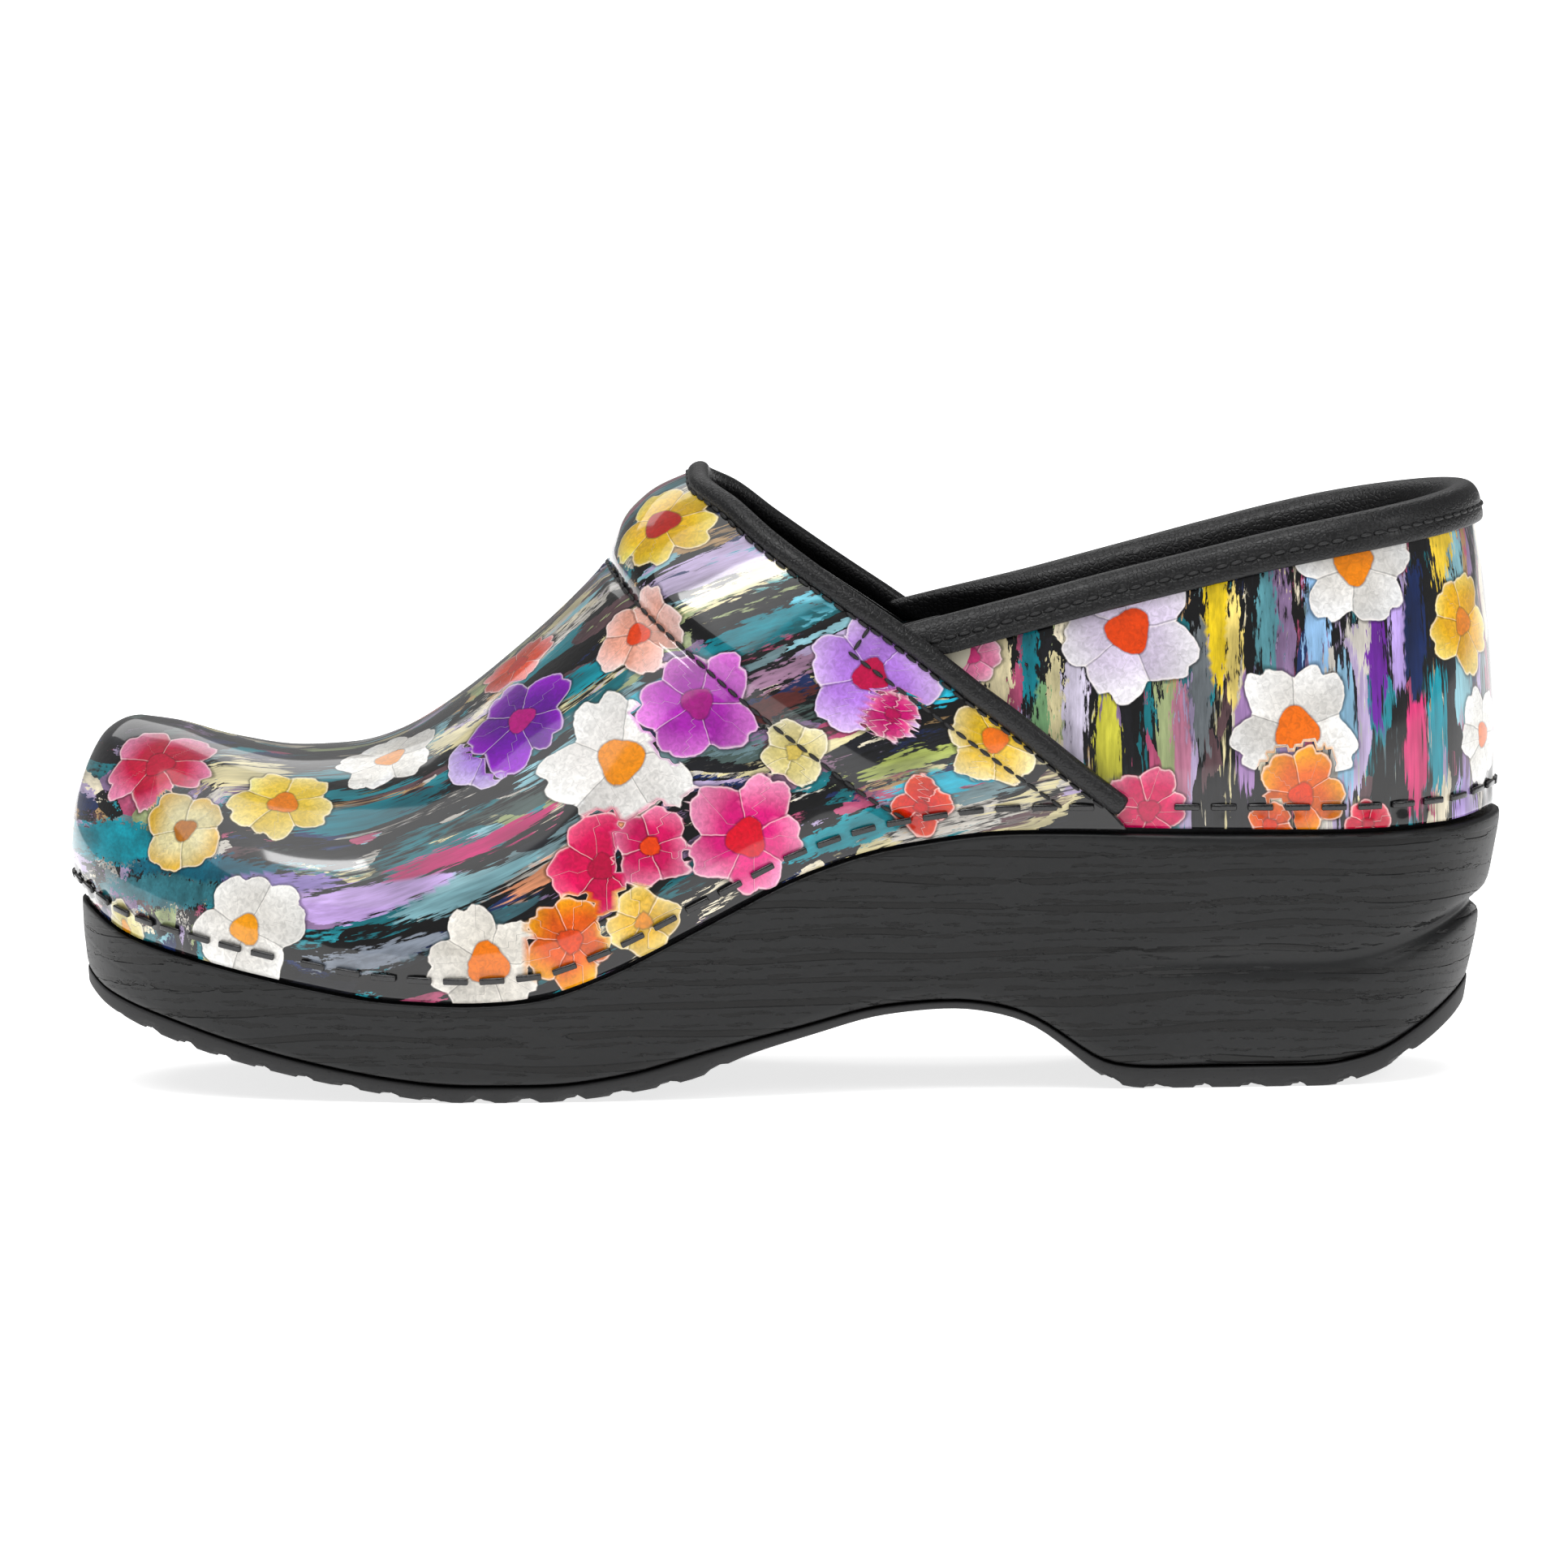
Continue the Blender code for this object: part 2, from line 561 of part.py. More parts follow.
def column_ends(column, back_x):
    """Heights of the base surface where a fanned column meets the sole and the ridge."""
    foot_z, top_z = COLUMN_GUESS
    for _ in range(COLUMN_TURNS):
        foot_z = base_point(foot_station(column_x(column, foot_z, back_x)), -1.0).z
        top_z = base_point(foot_station(column_x(column, top_z, back_x)), 0.0).z
    return foot_z, top_z


def foot_station(x):
    """The station whose foot on the upper's outline lies at x."""
    return station_of(x, curve_value(FEATHER_INSET, SOLE_TOE_X), curve_value(FEATHER_INSET, SOLE_HEEL_X))


def vamp_spot(column, row, side, back_x):
    """(p, s) of a grid point of the vamp: columns run from the sole (row 0) up to the ridge."""
    share = row / VAMP_ROWS
    if column <= FAN_COLUMN:
        return foot_station(FAN_X) * column / FAN_COLUMN, side * (1.0 - share)
    foot_z, top_z = column_ends(column, back_x)
    power = 2.0 / curve_value(FULLNESS, column_x(column, top_z, back_x))
    z = foot_z + (top_z - foot_z) * math.sin(share * math.pi / 2.0) ** power
    p = foot_station(column_x(column, z, back_x))
    if row == 0:
        return p, side
    if row == VAMP_ROWS:
        return p, 0.0
    return p, share_at(p, side, z)


def vamp_locate(last, back_x, first_row=0):
    """A locate() for a sheet from the back of the outer side, round the toe, to the back of the inner side."""

    def locate(i, j):
        side = -1.0 if i <= last else 1.0
        return vamp_spot(abs(i - last), j + first_row, side, back_x)

    return locate


def make_vamp(collection):
    """The printed leather over the toe, the instep and both sides, as far back as the throat binding."""
    return shell("vamp", PRINTED_LEATHER, collection, 2 * BACK_COLUMN, VAMP_ROWS,
                 vamp_locate(BACK_COLUMN, vamp_back_x),
                 lambda p, s: leather_skin(p, s, 0.0), lambda p, s: leather_skin(p, s, LEATHER))


def lining_depth(p, s):
    """Depth of the vamp lining, deeper under the toe puff."""
    x = base_point(p, s).x
    puff = 1.0 - ease((x - TOE_PUFF_END_X) / TOE_PUFF_EASE)
    return LEATHER + GAP + (STIFFENER + GAP) * puff


def make_vamp_lining(collection):
    """The lining of the vamp, which stops at the quarter's hidden front edge."""
    return shell("vamp_lining", BLACK_LEATHER, collection, 2 * BACK_COLUMN, VAMP_ROWS,
                 vamp_locate(BACK_COLUMN, lining_back_x),
                 lambda p, s: skin(p, s, lining_depth(p, s)),
                 lambda p, s: skin(p, s, lining_depth(p, s) + LINING))


def make_toe_puff(collection):
    """The stiff cap between leather and lining that keeps the toe round."""
    depth = LEATHER + GAP
    return shell("toe_puff", STIFF_BOARD, collection, 2 * PUFF_COLUMN, VAMP_ROWS,
                 vamp_locate(PUFF_COLUMN, vamp_back_x),
                 lambda p, s: skin(p, s, depth), lambda p, s: skin(p, s, depth + STIFFENER))


def make_instep_pad(collection):
    """The soft pad that fills the instep behind its seam, between leather and lining."""
    columns = PAD_BACK_COLUMN - PAD_FRONT_COLUMN
    rows = 2 * (VAMP_ROWS - PAD_LOW_ROW)

    def locate(i, j):
        side = -1.0 if 2 * j <= rows else 1.0
        row = VAMP_ROWS - abs(j - rows // 2)
        return vamp_spot(PAD_FRONT_COLUMN + i, row, side, vamp_back_x)

    return shell("instep_pad", FOAM, collection, columns, rows, locate,
                 lambda p, s: leather_skin(p, s, LEATHER + FIT_GAP), lambda p, s: skin(p, s, LEATHER))


def edge_x(z):
    """Where the throat binding's centre lies at height z."""
    low, high = BINDING_Z[0][0], BINDING_Z[-1][0]
    for _ in range(EDGE_TURNS):
        middle = (low + high) / 2.0
        if curve_value(BINDING_Z, middle) > z:
            low = middle
        else:
            high = middle
    return low


def quarter_locate(rows, columns, front_shift, cover):
    """A locate() for a sheet round the heel, from the slanted front edge up to a cover below the collar."""

    def locate(i, j):
        half = columns // 2
        side = -1.0 if i <= half else 1.0
        share = (i if i <= half else columns - i) / half
        up = j / rows
        rough_z = QUARTER_LOW_Z + (QUARTER_HIGH_Z - QUARTER_LOW_Z) * up
        start = station_of(quarter_front_x(rough_z) + front_shift)
        p = start + (1.0 - start) * share
        foot = base_point(p, side).z
        x = station_x(p, 0.0, 0.0)
        top = min(curve_value(COLLAR_Z, x) - cover, base_point(p, 0.0).z)
        return p, share_at(p, side, foot + (top - foot) * up)

    return locate


def make_heel_quarter(collection):
    """The printed leather round the heel, tucked under the vamp at both fronts."""
    rows, columns = 7, 36
    return shell("heel_quarter", PRINTED_LEATHER, collection, columns, rows,
                 quarter_locate(rows, columns, 0.0, COLLAR_COVER),
                 lambda p, s: skin(p, s, QUARTER_DEPTH), lambda p, s: skin(p, s, QUARTER_DEPTH + LEATHER))


def counter_share(p, s):
    """How much of the heel counter's thickness the quarter's lining has to clear here."""
    point = base_point(p, s)
    height = point.z - curve_value(SOLE_TOP, point.x)
    reach, length = COUNTER_FRONT_EASE
    along = ease((point.x - COUNTER_FRONT_X + reach) / length)
    return along * (1.0 - ease((height - COUNTER_HEIGHT - COUNTER_CLEARANCE) / COUNTER_TOP_EASE))


def make_quarter_lining(collection):
    """The lining of the quarter, which goes inside the heel counter."""
    rows, columns = 8, 36
    base_depth = QUARTER_DEPTH + LEATHER + GAP

    def depth(p, s):
        return base_depth + (STIFFENER + GAP) * counter_share(p, s)

    return shell("quarter_lining", BLACK_LEATHER, collection, columns, rows,
                 quarter_locate(rows, columns, LINING_SETBACK, LINING_COVER),
                 lambda p, s: skin(p, s, depth(p, s)), lambda p, s: skin(p, s, depth(p, s) + LINING))


def make_heel_counter(collection):
    """The stiff cup between quarter and lining that holds the heel."""
    rows, columns = 5, 20
    start = station_of(COUNTER_FRONT_X)
    depth = QUARTER_DEPTH + LEATHER + GAP

    def locate(i, j):
        p, side = around(i, columns, start)
        foot = base_point(p, side).z
        return p, share_at(p, side, foot + (COUNTER_HEIGHT - 2.0 * COUNTER_CLEARANCE) * j / rows)

    return shell("heel_counter", STIFF_BOARD, collection, columns, rows, locate,
                 lambda p, s: skin(p, s, depth), lambda p, s: skin(p, s, depth + STIFFENER))


def collar_place(count, clearance):
    """A place() on the collar: it starts behind the slanted throat binding at both fronts."""

    def place(k, depth, drop):
        half = count // 2
        side = -1.0 if k <= half else 1.0
        share = (k if k <= half else count - k) / half
        start_x = edge_x(collar_height(BAND_FRONT_X) + max(drop, -BAND_SLANT_DROP)) + clearance
        start = station_of(start_x)
        p = start + (1.0 - start) * share
        x = station_x(p, 0.0, 0.0)
        return skin(p, share_at(p, side, collar_height(x) + drop), depth)

    return place


def collar_height(x):
    """Height of the collar's top at a station."""
    return curve_value(COLLAR_Z, x)


def make_collar_band(collection):
    """The black strip folded over the top of the quarter."""
    count = 36
    return sweep("collar_band", BLACK_LEATHER, collection, count, BAND_SECTION,
                 collar_place(count, BAND_CLEARANCE))


def make_collar_foam(collection):
    """The foam strip that the collar band is folded round."""
    count = 36
    return sweep("collar_foam", FOAM, collection, count, FOAM_SECTION,
                 collar_place(count, COLLAR_STITCH_CLEARANCE))


def throat_points(count):
    """Points along the throat's edge, from its outer foot over the front of the throat to its inner foot."""
    points = []
    half = count // 2
    top_x, top_z = BINDING_Z[0]
    low_z = BINDING_Z[-1][1] + BINDING_FOOT
    for k in range(count + 1):
        side = -1.0 if k <= half else 1.0
        share = abs(k - half) / half
        z = top_z + (low_z - top_z) * share ** THROAT_CROWDING
        p = station_of(edge_x(z))
        height = min(z, base_point(p, 0.0).z)
        points.append(leather_skin(p, share_at(p, side, height), BINDING_DEPTH))
    points[half] = leather_skin(station_of(top_x), 0.0, BINDING_DEPTH)
    return points


def make_throat_binding(collection):
    """The rolled edge round the throat."""
    return wire("throat_binding", BLACK_LEATHER, collection, throat_points(52), BINDING_RADIUS, 2)


def column_seam(collection, name, column, low_row):
    """A thread along one column of the vamp, from side to side over the ridge."""
    rows = 2 * (VAMP_ROWS - low_row)
    points = []
    for j in range(rows + 1):
        side = -1.0 if 2 * j <= rows else 1.0
        p, s = vamp_spot(column, VAMP_ROWS - abs(j - rows // 2), side, vamp_back_x)
        points.append(leather_skin(p, s, -THREAD_LIFT - THREAD_RADIUS))
    return wire(name, THREAD, collection, points, THREAD_RADIUS, 1)


def make_quarter_stitch(collection, name, side):
    """The seam through vamp and quarter, ahead of the throat binding on one side."""
    start, corner, foot = (Vector(place) for place in QUARTER_SEAM)
    route = [start] + [corner.lerp(foot, k / QUARTER_SEAM_STEPS) for k in range(QUARTER_SEAM_STEPS + 1)]
    points = []
    for x, z in route:
        p = station_of(x)
        points.append(leather_skin(p, share_at(p, side, z), -THREAD_LIFT - THREAD_RADIUS))
    return wire(name, THREAD, collection, points, THREAD_RADIUS, 1)


def make_collar_stitch(collection):
    """The thread through the collar band, a little above its lower edge."""
    count = 44
    place = collar_place(count, COLLAR_STITCH_CLEARANCE)
    depth = -THREAD_LIFT - THREAD_RADIUS
    points = [place(k, depth, -COLLAR_STITCH_DROP) for k in range(count + 1)]
    return wire("collar_stitch", THREAD, collection, points, THREAD_RADIUS, 1)


def margin_length(start_p, end_p, side, steps=80):
    """Running length along the upper's margin, as a list of (length, p)."""
    table = [(0.0, start_p)]
    last = base_point(start_p, side)
    for k in range(1, steps + 1):
        p = start_p + (end_p - start_p) * k / steps
        point = base_point(p, side)
        table.append((table[-1][0] + (point - last).length, p))
        last = point
    return table


def at_length(table, length):
    """The station at a running length."""
    for (a, p0), (b, p1) in zip(table, table[1:]):
        if b >= length:
            return p0 + (p1 - p0) * (length - a) / (b - a)
    return table[-1][1]


def make_staple_row(collection, name, side, start, end, surface):
    """Staples along one stretch of the margin, their crowns outside and joined by a thin wire."""
    table = margin_length(start, end, side)
    count = int(table[-1][0] / STAPLE_PITCH)
    spots = []
    for k in range(count):
        centre = (k + 0.5) * STAPLE_PITCH
        for offset, thick in ((-0.5, False), (-0.4999, True), (0.4999, True), (0.5, False)):
            spots.append((centre + offset * STAPLE_LENGTH, thick))
    corners = ((0.0, 0.0), (1.0, 0.0), (1.0, 1.0), (0.0, 1.0))
    bm = bmesh.new()

    def place(i, j):
        length, thick = spots[i]
        out, up = corners[j % 4]
        p = at_length(table, length)
        width = STAPLE_WIDTH if thick else STAPLE_RAIL
        deep = STAPLE_THICKNESS if thick else STAPLE_RAIL
        z = base_point(p, side).z + STAPLE_HEIGHT + width * (up - 0.5)
        return surface(p, share_at(p, side, z), -STAPLE_LIFT - deep * out)

    found = add_sheet(bm, len(spots) - 1, 4, place)
    for end in (0, len(spots) - 1):
        bm.faces.new([found[end, j] for j in range(4)])
    return finish_mesh(bm, name, LACQUERED_STEEL, collection)


def make_staples(collection):
    """Rows of staples: two halves of the toe, both sides of the vamp and both sides of the heel."""

    def on_quarter(p, s, depth):
        return skin(p, s, QUARTER_DEPTH + depth)

    for word, side in (("left", -1.0), ("right", 1.0)):
        toe_end, vamp_end, heel_start = (station_of(x) for x in STAPLE_BREAKS)
        make_staple_row(collection, f"staples_toe_{word}", side, 0.0, toe_end, leather_skin)
        make_staple_row(collection, f"staples_vamp_{word}", side, toe_end, vamp_end, leather_skin)
        make_staple_row(collection, f"staples_heel_{word}", side, 1.0, heel_start, on_quarter)


def main():
    """Builds every piece in one collection."""
    for obj in list(bpy.data.objects):
        bpy.data.objects.remove(obj, do_unlink=True)
    clog = bpy.data.collections.new("clog")
    bpy.context.scene.collection.children.link(clog)
    make_outsole(clog)
    make_sole_block(clog)
    make_inner_frame(clog)
    make_bed("footbed", CORK, clog, -RECESS_DEPTH + GAP + FRAME_FLOOR + FIT_GAP, FOOTBED_TOP)
    make_bed("sock_liner", BLACK_LEATHER, clog, FOOTBED_TOP + GAP, FOOTBED_TOP + GAP + SOCK_THICKNESS)
    make_vamp(clog)
    make_vamp_lining(clog)
    make_toe_puff(clog)
    make_instep_pad(clog)
    make_heel_quarter(clog)
    make_quarter_lining(clog)
    make_heel_counter(clog)
    make_collar_band(clog)
    make_collar_foam(clog)
    make_throat_binding(clog)
    column_seam(clog, "binding_stitch", BACK_COLUMN - STITCH_SETBACK, 1)
    column_seam(clog, "vamp_stitch", SEAM_COLUMN, 1)
    make_quarter_stitch(clog, "quarter_stitch_left", -1.0)
    make_quarter_stitch(clog, "quarter_stitch_right", 1.0)
    make_collar_stitch(clog)
    make_staples(clog)


main()
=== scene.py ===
"""Looks of a stapled, closed-back clog with a painted leather upper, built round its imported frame.

Metres, +Z up. The toe points along -X, the heel along +X, and the outer side of the foot is -Y. Every layer of
the upper is an offset of one base surface, as in the part: p runs from the toe tip (0) to the back of the heel
(1), and s from the outer edge of the sole (-1) over the ridge (0) to the inner edge (1).
"""

from __future__ import annotations

import logging
import math
from dataclasses import dataclass, field
from enum import Enum
from typing import Any, Callable, Sequence

import bmesh
import bpy
import numpy as np
from mathutils import Matrix, Vector


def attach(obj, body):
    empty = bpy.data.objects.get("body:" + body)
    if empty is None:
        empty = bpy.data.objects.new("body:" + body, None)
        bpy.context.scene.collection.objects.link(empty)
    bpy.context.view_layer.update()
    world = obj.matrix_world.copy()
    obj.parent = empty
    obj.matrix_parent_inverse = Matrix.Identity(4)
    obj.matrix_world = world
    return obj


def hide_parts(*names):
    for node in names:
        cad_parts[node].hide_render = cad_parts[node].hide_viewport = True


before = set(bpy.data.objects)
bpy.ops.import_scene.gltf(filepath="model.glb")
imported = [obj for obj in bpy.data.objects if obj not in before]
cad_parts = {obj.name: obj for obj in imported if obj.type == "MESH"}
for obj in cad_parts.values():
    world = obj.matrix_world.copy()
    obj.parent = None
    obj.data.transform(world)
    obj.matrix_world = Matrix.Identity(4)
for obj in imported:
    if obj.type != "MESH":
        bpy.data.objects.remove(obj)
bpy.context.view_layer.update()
LOG = logging.getLogger("clog")
ROOT = "root"
MM = 0.001
SPLIT = 1e-6
CUT_EDGE_CREASE = 0.9
CUT_EDGE_ANGLE = math.radians(50.0)

Curve = tuple[tuple[float, float], ...]
Spot = tuple[float, float]
Locate = Callable[[int, int], Spot]
Ring = Callable[[float, float], tuple[float, float, float]]


def curve_at(points: Curve, x: float) -> float:
    """The value at x of a smooth curve through the points, level past its ends.

    Args:
        points: The curve's (x, value) points, in order.
        x: Where to read it.

    Returns:
        The curve's value.
    """
    if x <= points[0][0]:
        return points[0][1]
    if x >= points[-1][0]:
        return points[-1][1]
    k = next(i for i in range(len(points) - 1) if points[i + 1][0] >= x)
    (x0, y0), (x1, y1) = points[k], points[k + 1]
    width = x1 - x0
    u = (x - x0) / width
    start = slope_at(points, k) * width
    end = slope_at(points, k + 1) * width
    return ((2 * u ** 3 - 3 * u ** 2 + 1) * y0 + (u ** 3 - 2 * u ** 2 + u) * start
            + (3 * u ** 2 - 2 * u ** 3) * y1 + (u ** 3 - u ** 2) * end)


def slope_at(points: Curve, k: int) -> float:
    """The curve's slope at point k, the harmonic mean of the slopes beside it."""
    last = len(points) - 1
    before = after = 0.0
    if k > 0:
        before = (points[k][1] - points[k - 1][1]) / (points[k][0] - points[k - 1][0])
    if k < last:
        after = (points[k + 1][1] - points[k][1]) / (points[k + 1][0] - points[k][0])
    if k == 0 or k == last:
        return before + after
    return 2.0 * before * after / (before + after) if before * after > 0.0 else 0.0


def ease(value: float) -> float:
    """0 below 0, 1 above 1, and a smooth step between."""
    u = min(max(value, 0.0), 1.0)
    return u * u * (3.0 - 2.0 * u)


def rounding(distance: float, length: float, power: float) -> float:
    """How much of the full width is left at a distance from a rounded end."""
    if distance >= length:
        return 1.0
    share = 1.0 - max(distance, 0.0) / length
    return (1.0 - share ** power) ** (1.0 / power)


def colour(code: str) -> tuple[float, float, float, float]:
    """An sRGB hex colour as linear RGBA."""
    values = [int(code[k:k + 2], 16) / 255.0 for k in (1, 3, 5)]
    linear = [v / 12.92 if v <= 0.04045 else ((v + 0.055) / 1.055) ** 2.4 for v in values]
    return linear[0], linear[1], linear[2], 1.0


def add_node(tree: bpy.types.NodeTree, kind: str, inputs: dict[Any, Any] | None = None,
             **settings: Any) -> bpy.types.Node:
    """Adds a node with its settings, input values and links.

    Args:
        tree: The material's node tree.
        kind: The node's type name.
        inputs: Values or source sockets, by input name or index.
        **settings: Properties of the node.

    Returns:
        The node.
    """
    node = tree.nodes.new(kind)
    for name, value in settings.items():
        setattr(node, name, value)
    for key, value in (inputs or {}).items():
        socket = node.inputs[key]
        if isinstance(value, bpy.types.NodeSocket):
            tree.links.new(value, socket)
        else:
            socket.default_value = value
    return node


@dataclass(frozen=True)
class ClogForm:
    """The shoe's shape: the sole's plan and heights, and the base surface of the upper."""

    toe_x: float = -0.1288
    heel_x: float = 0.1310
    toe_round: float = 0.046
    heel_round: float = 0.036
    toe_power: float = 2.3
    heel_power: float = 2.1
    half_width: Curve = ((-0.131, 0.0385), (-0.090, 0.0450), (-0.052, 0.0490), (-0.020, 0.0455), (0.020, 0.0375),
                         (0.060, 0.0350), (0.095, 0.0350), (0.131, 0.0345))
    middle_y: Curve = ((-0.131, 0.0072), (-0.100, 0.0048), (-0.045, -0.0008), (0.000, -0.0032), (0.050, -0.0017),
                       (0.131, -0.0002))
    sole_top: Curve = ((-0.129, 0.0345), (-0.120, 0.0288), (-0.108, 0.0254), (-0.090, 0.0214), (-0.072, 0.0184),
                       (-0.058, 0.0178), (-0.046, 0.0186), (-0.034, 0.0224), (-0.014, 0.0321), (0.004, 0.0406),
                       (0.020, 0.0450), (0.042, 0.0472), (0.075, 0.0465), (0.105, 0.0462), (0.122, 0.0467),
                       (0.131, 0.0482))
    tread_top: Curve = ((-0.129, 0.0225), (-0.124, 0.0183), (-0.111, 0.0137), (-0.098, 0.0098), (-0.085, 0.0066),
                        (-0.072, 0.0042), (-0.060, 0.0030), (-0.044, 0.0030), (-0.030, 0.0046), (-0.014, 0.0088),
                        (0.004, 0.0130), (0.017, 0.0160), (0.030, 0.0168), (0.042, 0.0148), (0.050, 0.0102),
                        (0.058, 0.0048), (0.066, 0.0038), (0.096, 0.0038), (0.106, 0.0054), (0.115, 0.0100),
                        (0.121, 0.0144), (0.125, 0.0180))
    tread_bottom: Curve = ((-0.129, 0.0201), (-0.124, 0.0155), (-0.112, 0.0104), (-0.098, 0.0064),
                           (-0.080, 0.0026), (-0.069, 0.0008), (-0.062, 0.0), (-0.044, 0.0), (-0.034, 0.0008),
                           (-0.016, 0.0040), (-0.009, 0.0073), (0.005, 0.0113), (0.018, 0.0145), (0.030, 0.0153),
                           (0.042, 0.0132), (0.050, 0.0082), (0.058, 0.0016), (0.063, 0.0), (0.098, 0.0),
                           (0.106, 0.0018), (0.114, 0.0056), (0.121, 0.0104), (0.125, 0.0142))
    ridge_z: Curve = ((-0.117, 0.0673), (-0.110, 0.0662), (-0.100, 0.0633), (-0.088, 0.0614), (-0.078, 0.0619),
                      (-0.070, 0.0642), (-0.060, 0.0701), (-0.050, 0.0779), (-0.040, 0.0866), (-0.034, 0.0926),
                      (-0.027, 0.1010), (-0.022, 0.1057), (-0.015, 0.1088), (0.000, 0.1150), (0.040, 0.1240),
                      (0.080, 0.1330), (0.101, 0.1360))
    ridge_toe_x: float = -0.117
    ridge_heel_x: float = 0.101
    toe_fan_x: float = -0.090
    heel_fan_x: float = 0.080
    ridge_y: Curve = ((-0.117, 0.0058), (-0.050, 0.0018), (0.000, 0.0003), (0.131, -0.0002))
    fullness: Curve = ((-0.129, 2.30), (-0.060, 2.10), (-0.020, 1.98), (0.010, 1.85), (0.045, 1.80),
                       (0.080, 2.20), (0.105, 2.60), (0.131, 2.70))
    feather_inset: Curve = ((-0.129, 0.0009), (0.058, 0.0007), (0.078, -0.0006), (0.131, -0.0008))
    belly: Curve = ((-0.129, 0.0034), (-0.095, 0.0028), (-0.050, 0.0020), (0.000, 0.0018), (0.045, 0.0012),
                    (0.095, 0.0006), (0.131, 0.0003))
    belly_height: float = 0.012
    inner_rise: float = 0.010
    inner_rise_width: float = 0.030
    binding_z: Curve = ((-0.0148, 0.1078), (-0.0142, 0.1070), (-0.0128, 0.1061), (-0.0098, 0.1044),
                        (-0.0029, 0.0987), (0.0042, 0.0935), (0.0115, 0.0885), (0.0190, 0.0835), (0.0263, 0.0782),
                        (0.0337, 0.0725), (0.0412, 0.0670), (0.0487, 0.0610), (0.0562, 0.0550), (0.0629, 0.0500))
    instep_seam: Curve = ((0.0495, 0.0235), (0.0528, 0.0177), (0.0571, 0.0116), (0.0631, 0.0042), (0.0689, -0.0032),
                          (0.0737, -0.0090), (0.0816, -0.0179), (0.0880, -0.0252), (0.0950, -0.0322))
    collar_z: Curve = ((0.010, 0.0826), (0.0297, 0.0878), (0.0473, 0.0922), (0.0645, 0.0964), (0.083, 0.1007),
                       (0.1036, 0.1046), (0.120, 0.1070), (0.131, 0.1086))
    quarter_front: tuple[Spot, Spot] = ((0.0140, 0.0840), (0.0530, 0.0480))
    fit_gap: float = 0.0005
    pad_rise: float = 0.0026
    pad_ease: float = 0.006
    pad_foot: float = 0.030
    quarter_depth: float = 0.0019
    back_drop: float = 0.0008
    back_setback: float = 0.0006
    normal_step: float = 1e-4
    core_end_x: float = 0.095
    core_lift: float = 0.012

    def station_x(self, p: float, toe_inset: float = 0.0, heel_inset: float = 0.0) -> float:
        """Where station p lies along the shoe, close together at both ends."""
        toe = self.toe_x + toe_inset
        return toe + (self.heel_x - heel_inset - toe) * (1.0 - math.cos(math.pi * p)) / 2.0

    def station_of(self, x: float, toe_inset: float = 0.0, heel_inset: float = 0.0) -> float:
        """The station that lies at x."""
        toe = self.toe_x + toe_inset
        share = (x - toe) / (self.heel_x - heel_inset - toe)
        return math.acos(min(max(1.0 - 2.0 * share, -1.0), 1.0)) / math.pi

    def foot_station(self, x: float) -> float:
        """The station whose foot on the upper's outline lies at x."""
        return self.station_of(x, curve_at(self.feather_inset, self.toe_x), curve_at(self.feather_inset, self.heel_x))

    def plan_point(self, p: float, side: float, insets: Sequence[float]) -> tuple[float, float]:
        """A point of the sole's outline, drawn in by the side, toe and heel insets."""
        side_inset, toe_inset, heel_inset = insets
        x = self.station_x(p, toe_inset, heel_inset)
        width = curve_at(self.half_width, x) - side_inset
        width *= rounding(x - self.toe_x - toe_inset, self.toe_round - toe_inset, self.toe_power)
        width *= rounding(self.heel_x - heel_inset - x, self.heel_round - heel_inset, self.heel_power)
        if p < SPLIT or p > 1.0 - SPLIT:
            width = 0.0
        return x, curve_at(self.middle_y, x) + side * width

    def ridge_x(self, foot_x: float) -> float:
        """Where the ray from the sole's edge at foot_x meets the ridge."""
        toe_edge = self.toe_x + curve_at(self.feather_inset, self.toe_x)
        heel_edge = self.heel_x - curve_at(self.feather_inset, self.heel_x)
        if foot_x < self.toe_fan_x:
            share = (foot_x - self.toe_fan_x) / (toe_edge - self.toe_fan_x)
            return self.toe_fan_x + share * (self.ridge_toe_x - self.toe_fan_x)
        if foot_x > self.heel_fan_x:
            share = (foot_x - self.heel_fan_x) / (heel_edge - self.heel_fan_x)
            return self.heel_fan_x + share * (self.ridge_heel_x - self.heel_fan_x)
        return foot_x

    def base_point(self, p: float, s: float) -> Vector:
        """The base surface of the upper, before the instep's padding."""
        side = -1.0 if s < 0.0 else 1.0
        inset = curve_at(self.feather_inset, self.station_x(p))
        insets = (inset, curve_at(self.feather_inset, self.toe_x), curve_at(self.feather_inset, self.heel_x))
        foot_x, foot_y = self.plan_point(p, side, insets)
        foot_z = curve_at(self.sole_top, foot_x) + self.fit_gap
        top_x = self.ridge_x(foot_x)
        top_y = curve_at(self.ridge_y, top_x)
        top_z = curve_at(self.ridge_z, top_x)
        power = 2.0 / curve_at(self.fullness, foot_x)
        angle = (1.0 - abs(s)) * math.pi / 2.0
        out = max(math.cos(angle), 0.0) ** power
        height = (top_z - foot_z) * math.sin(angle) ** power
        away = Vector((foot_x - top_x, foot_y - top_y))
        belly = curve_at(self.belly, foot_x) * height / self.belly_height
        belly *= math.exp(1.0 - height / self.belly_height)
        spread = away * out + away.normalized() * belly * min(1.0, out * 2.0)
        rise = 1.0 + self.inner_rise * ease(spread.y / self.inner_rise_width)
        return Vector((top_x + spread.x, top_y + spread.y, foot_z + height * rise))

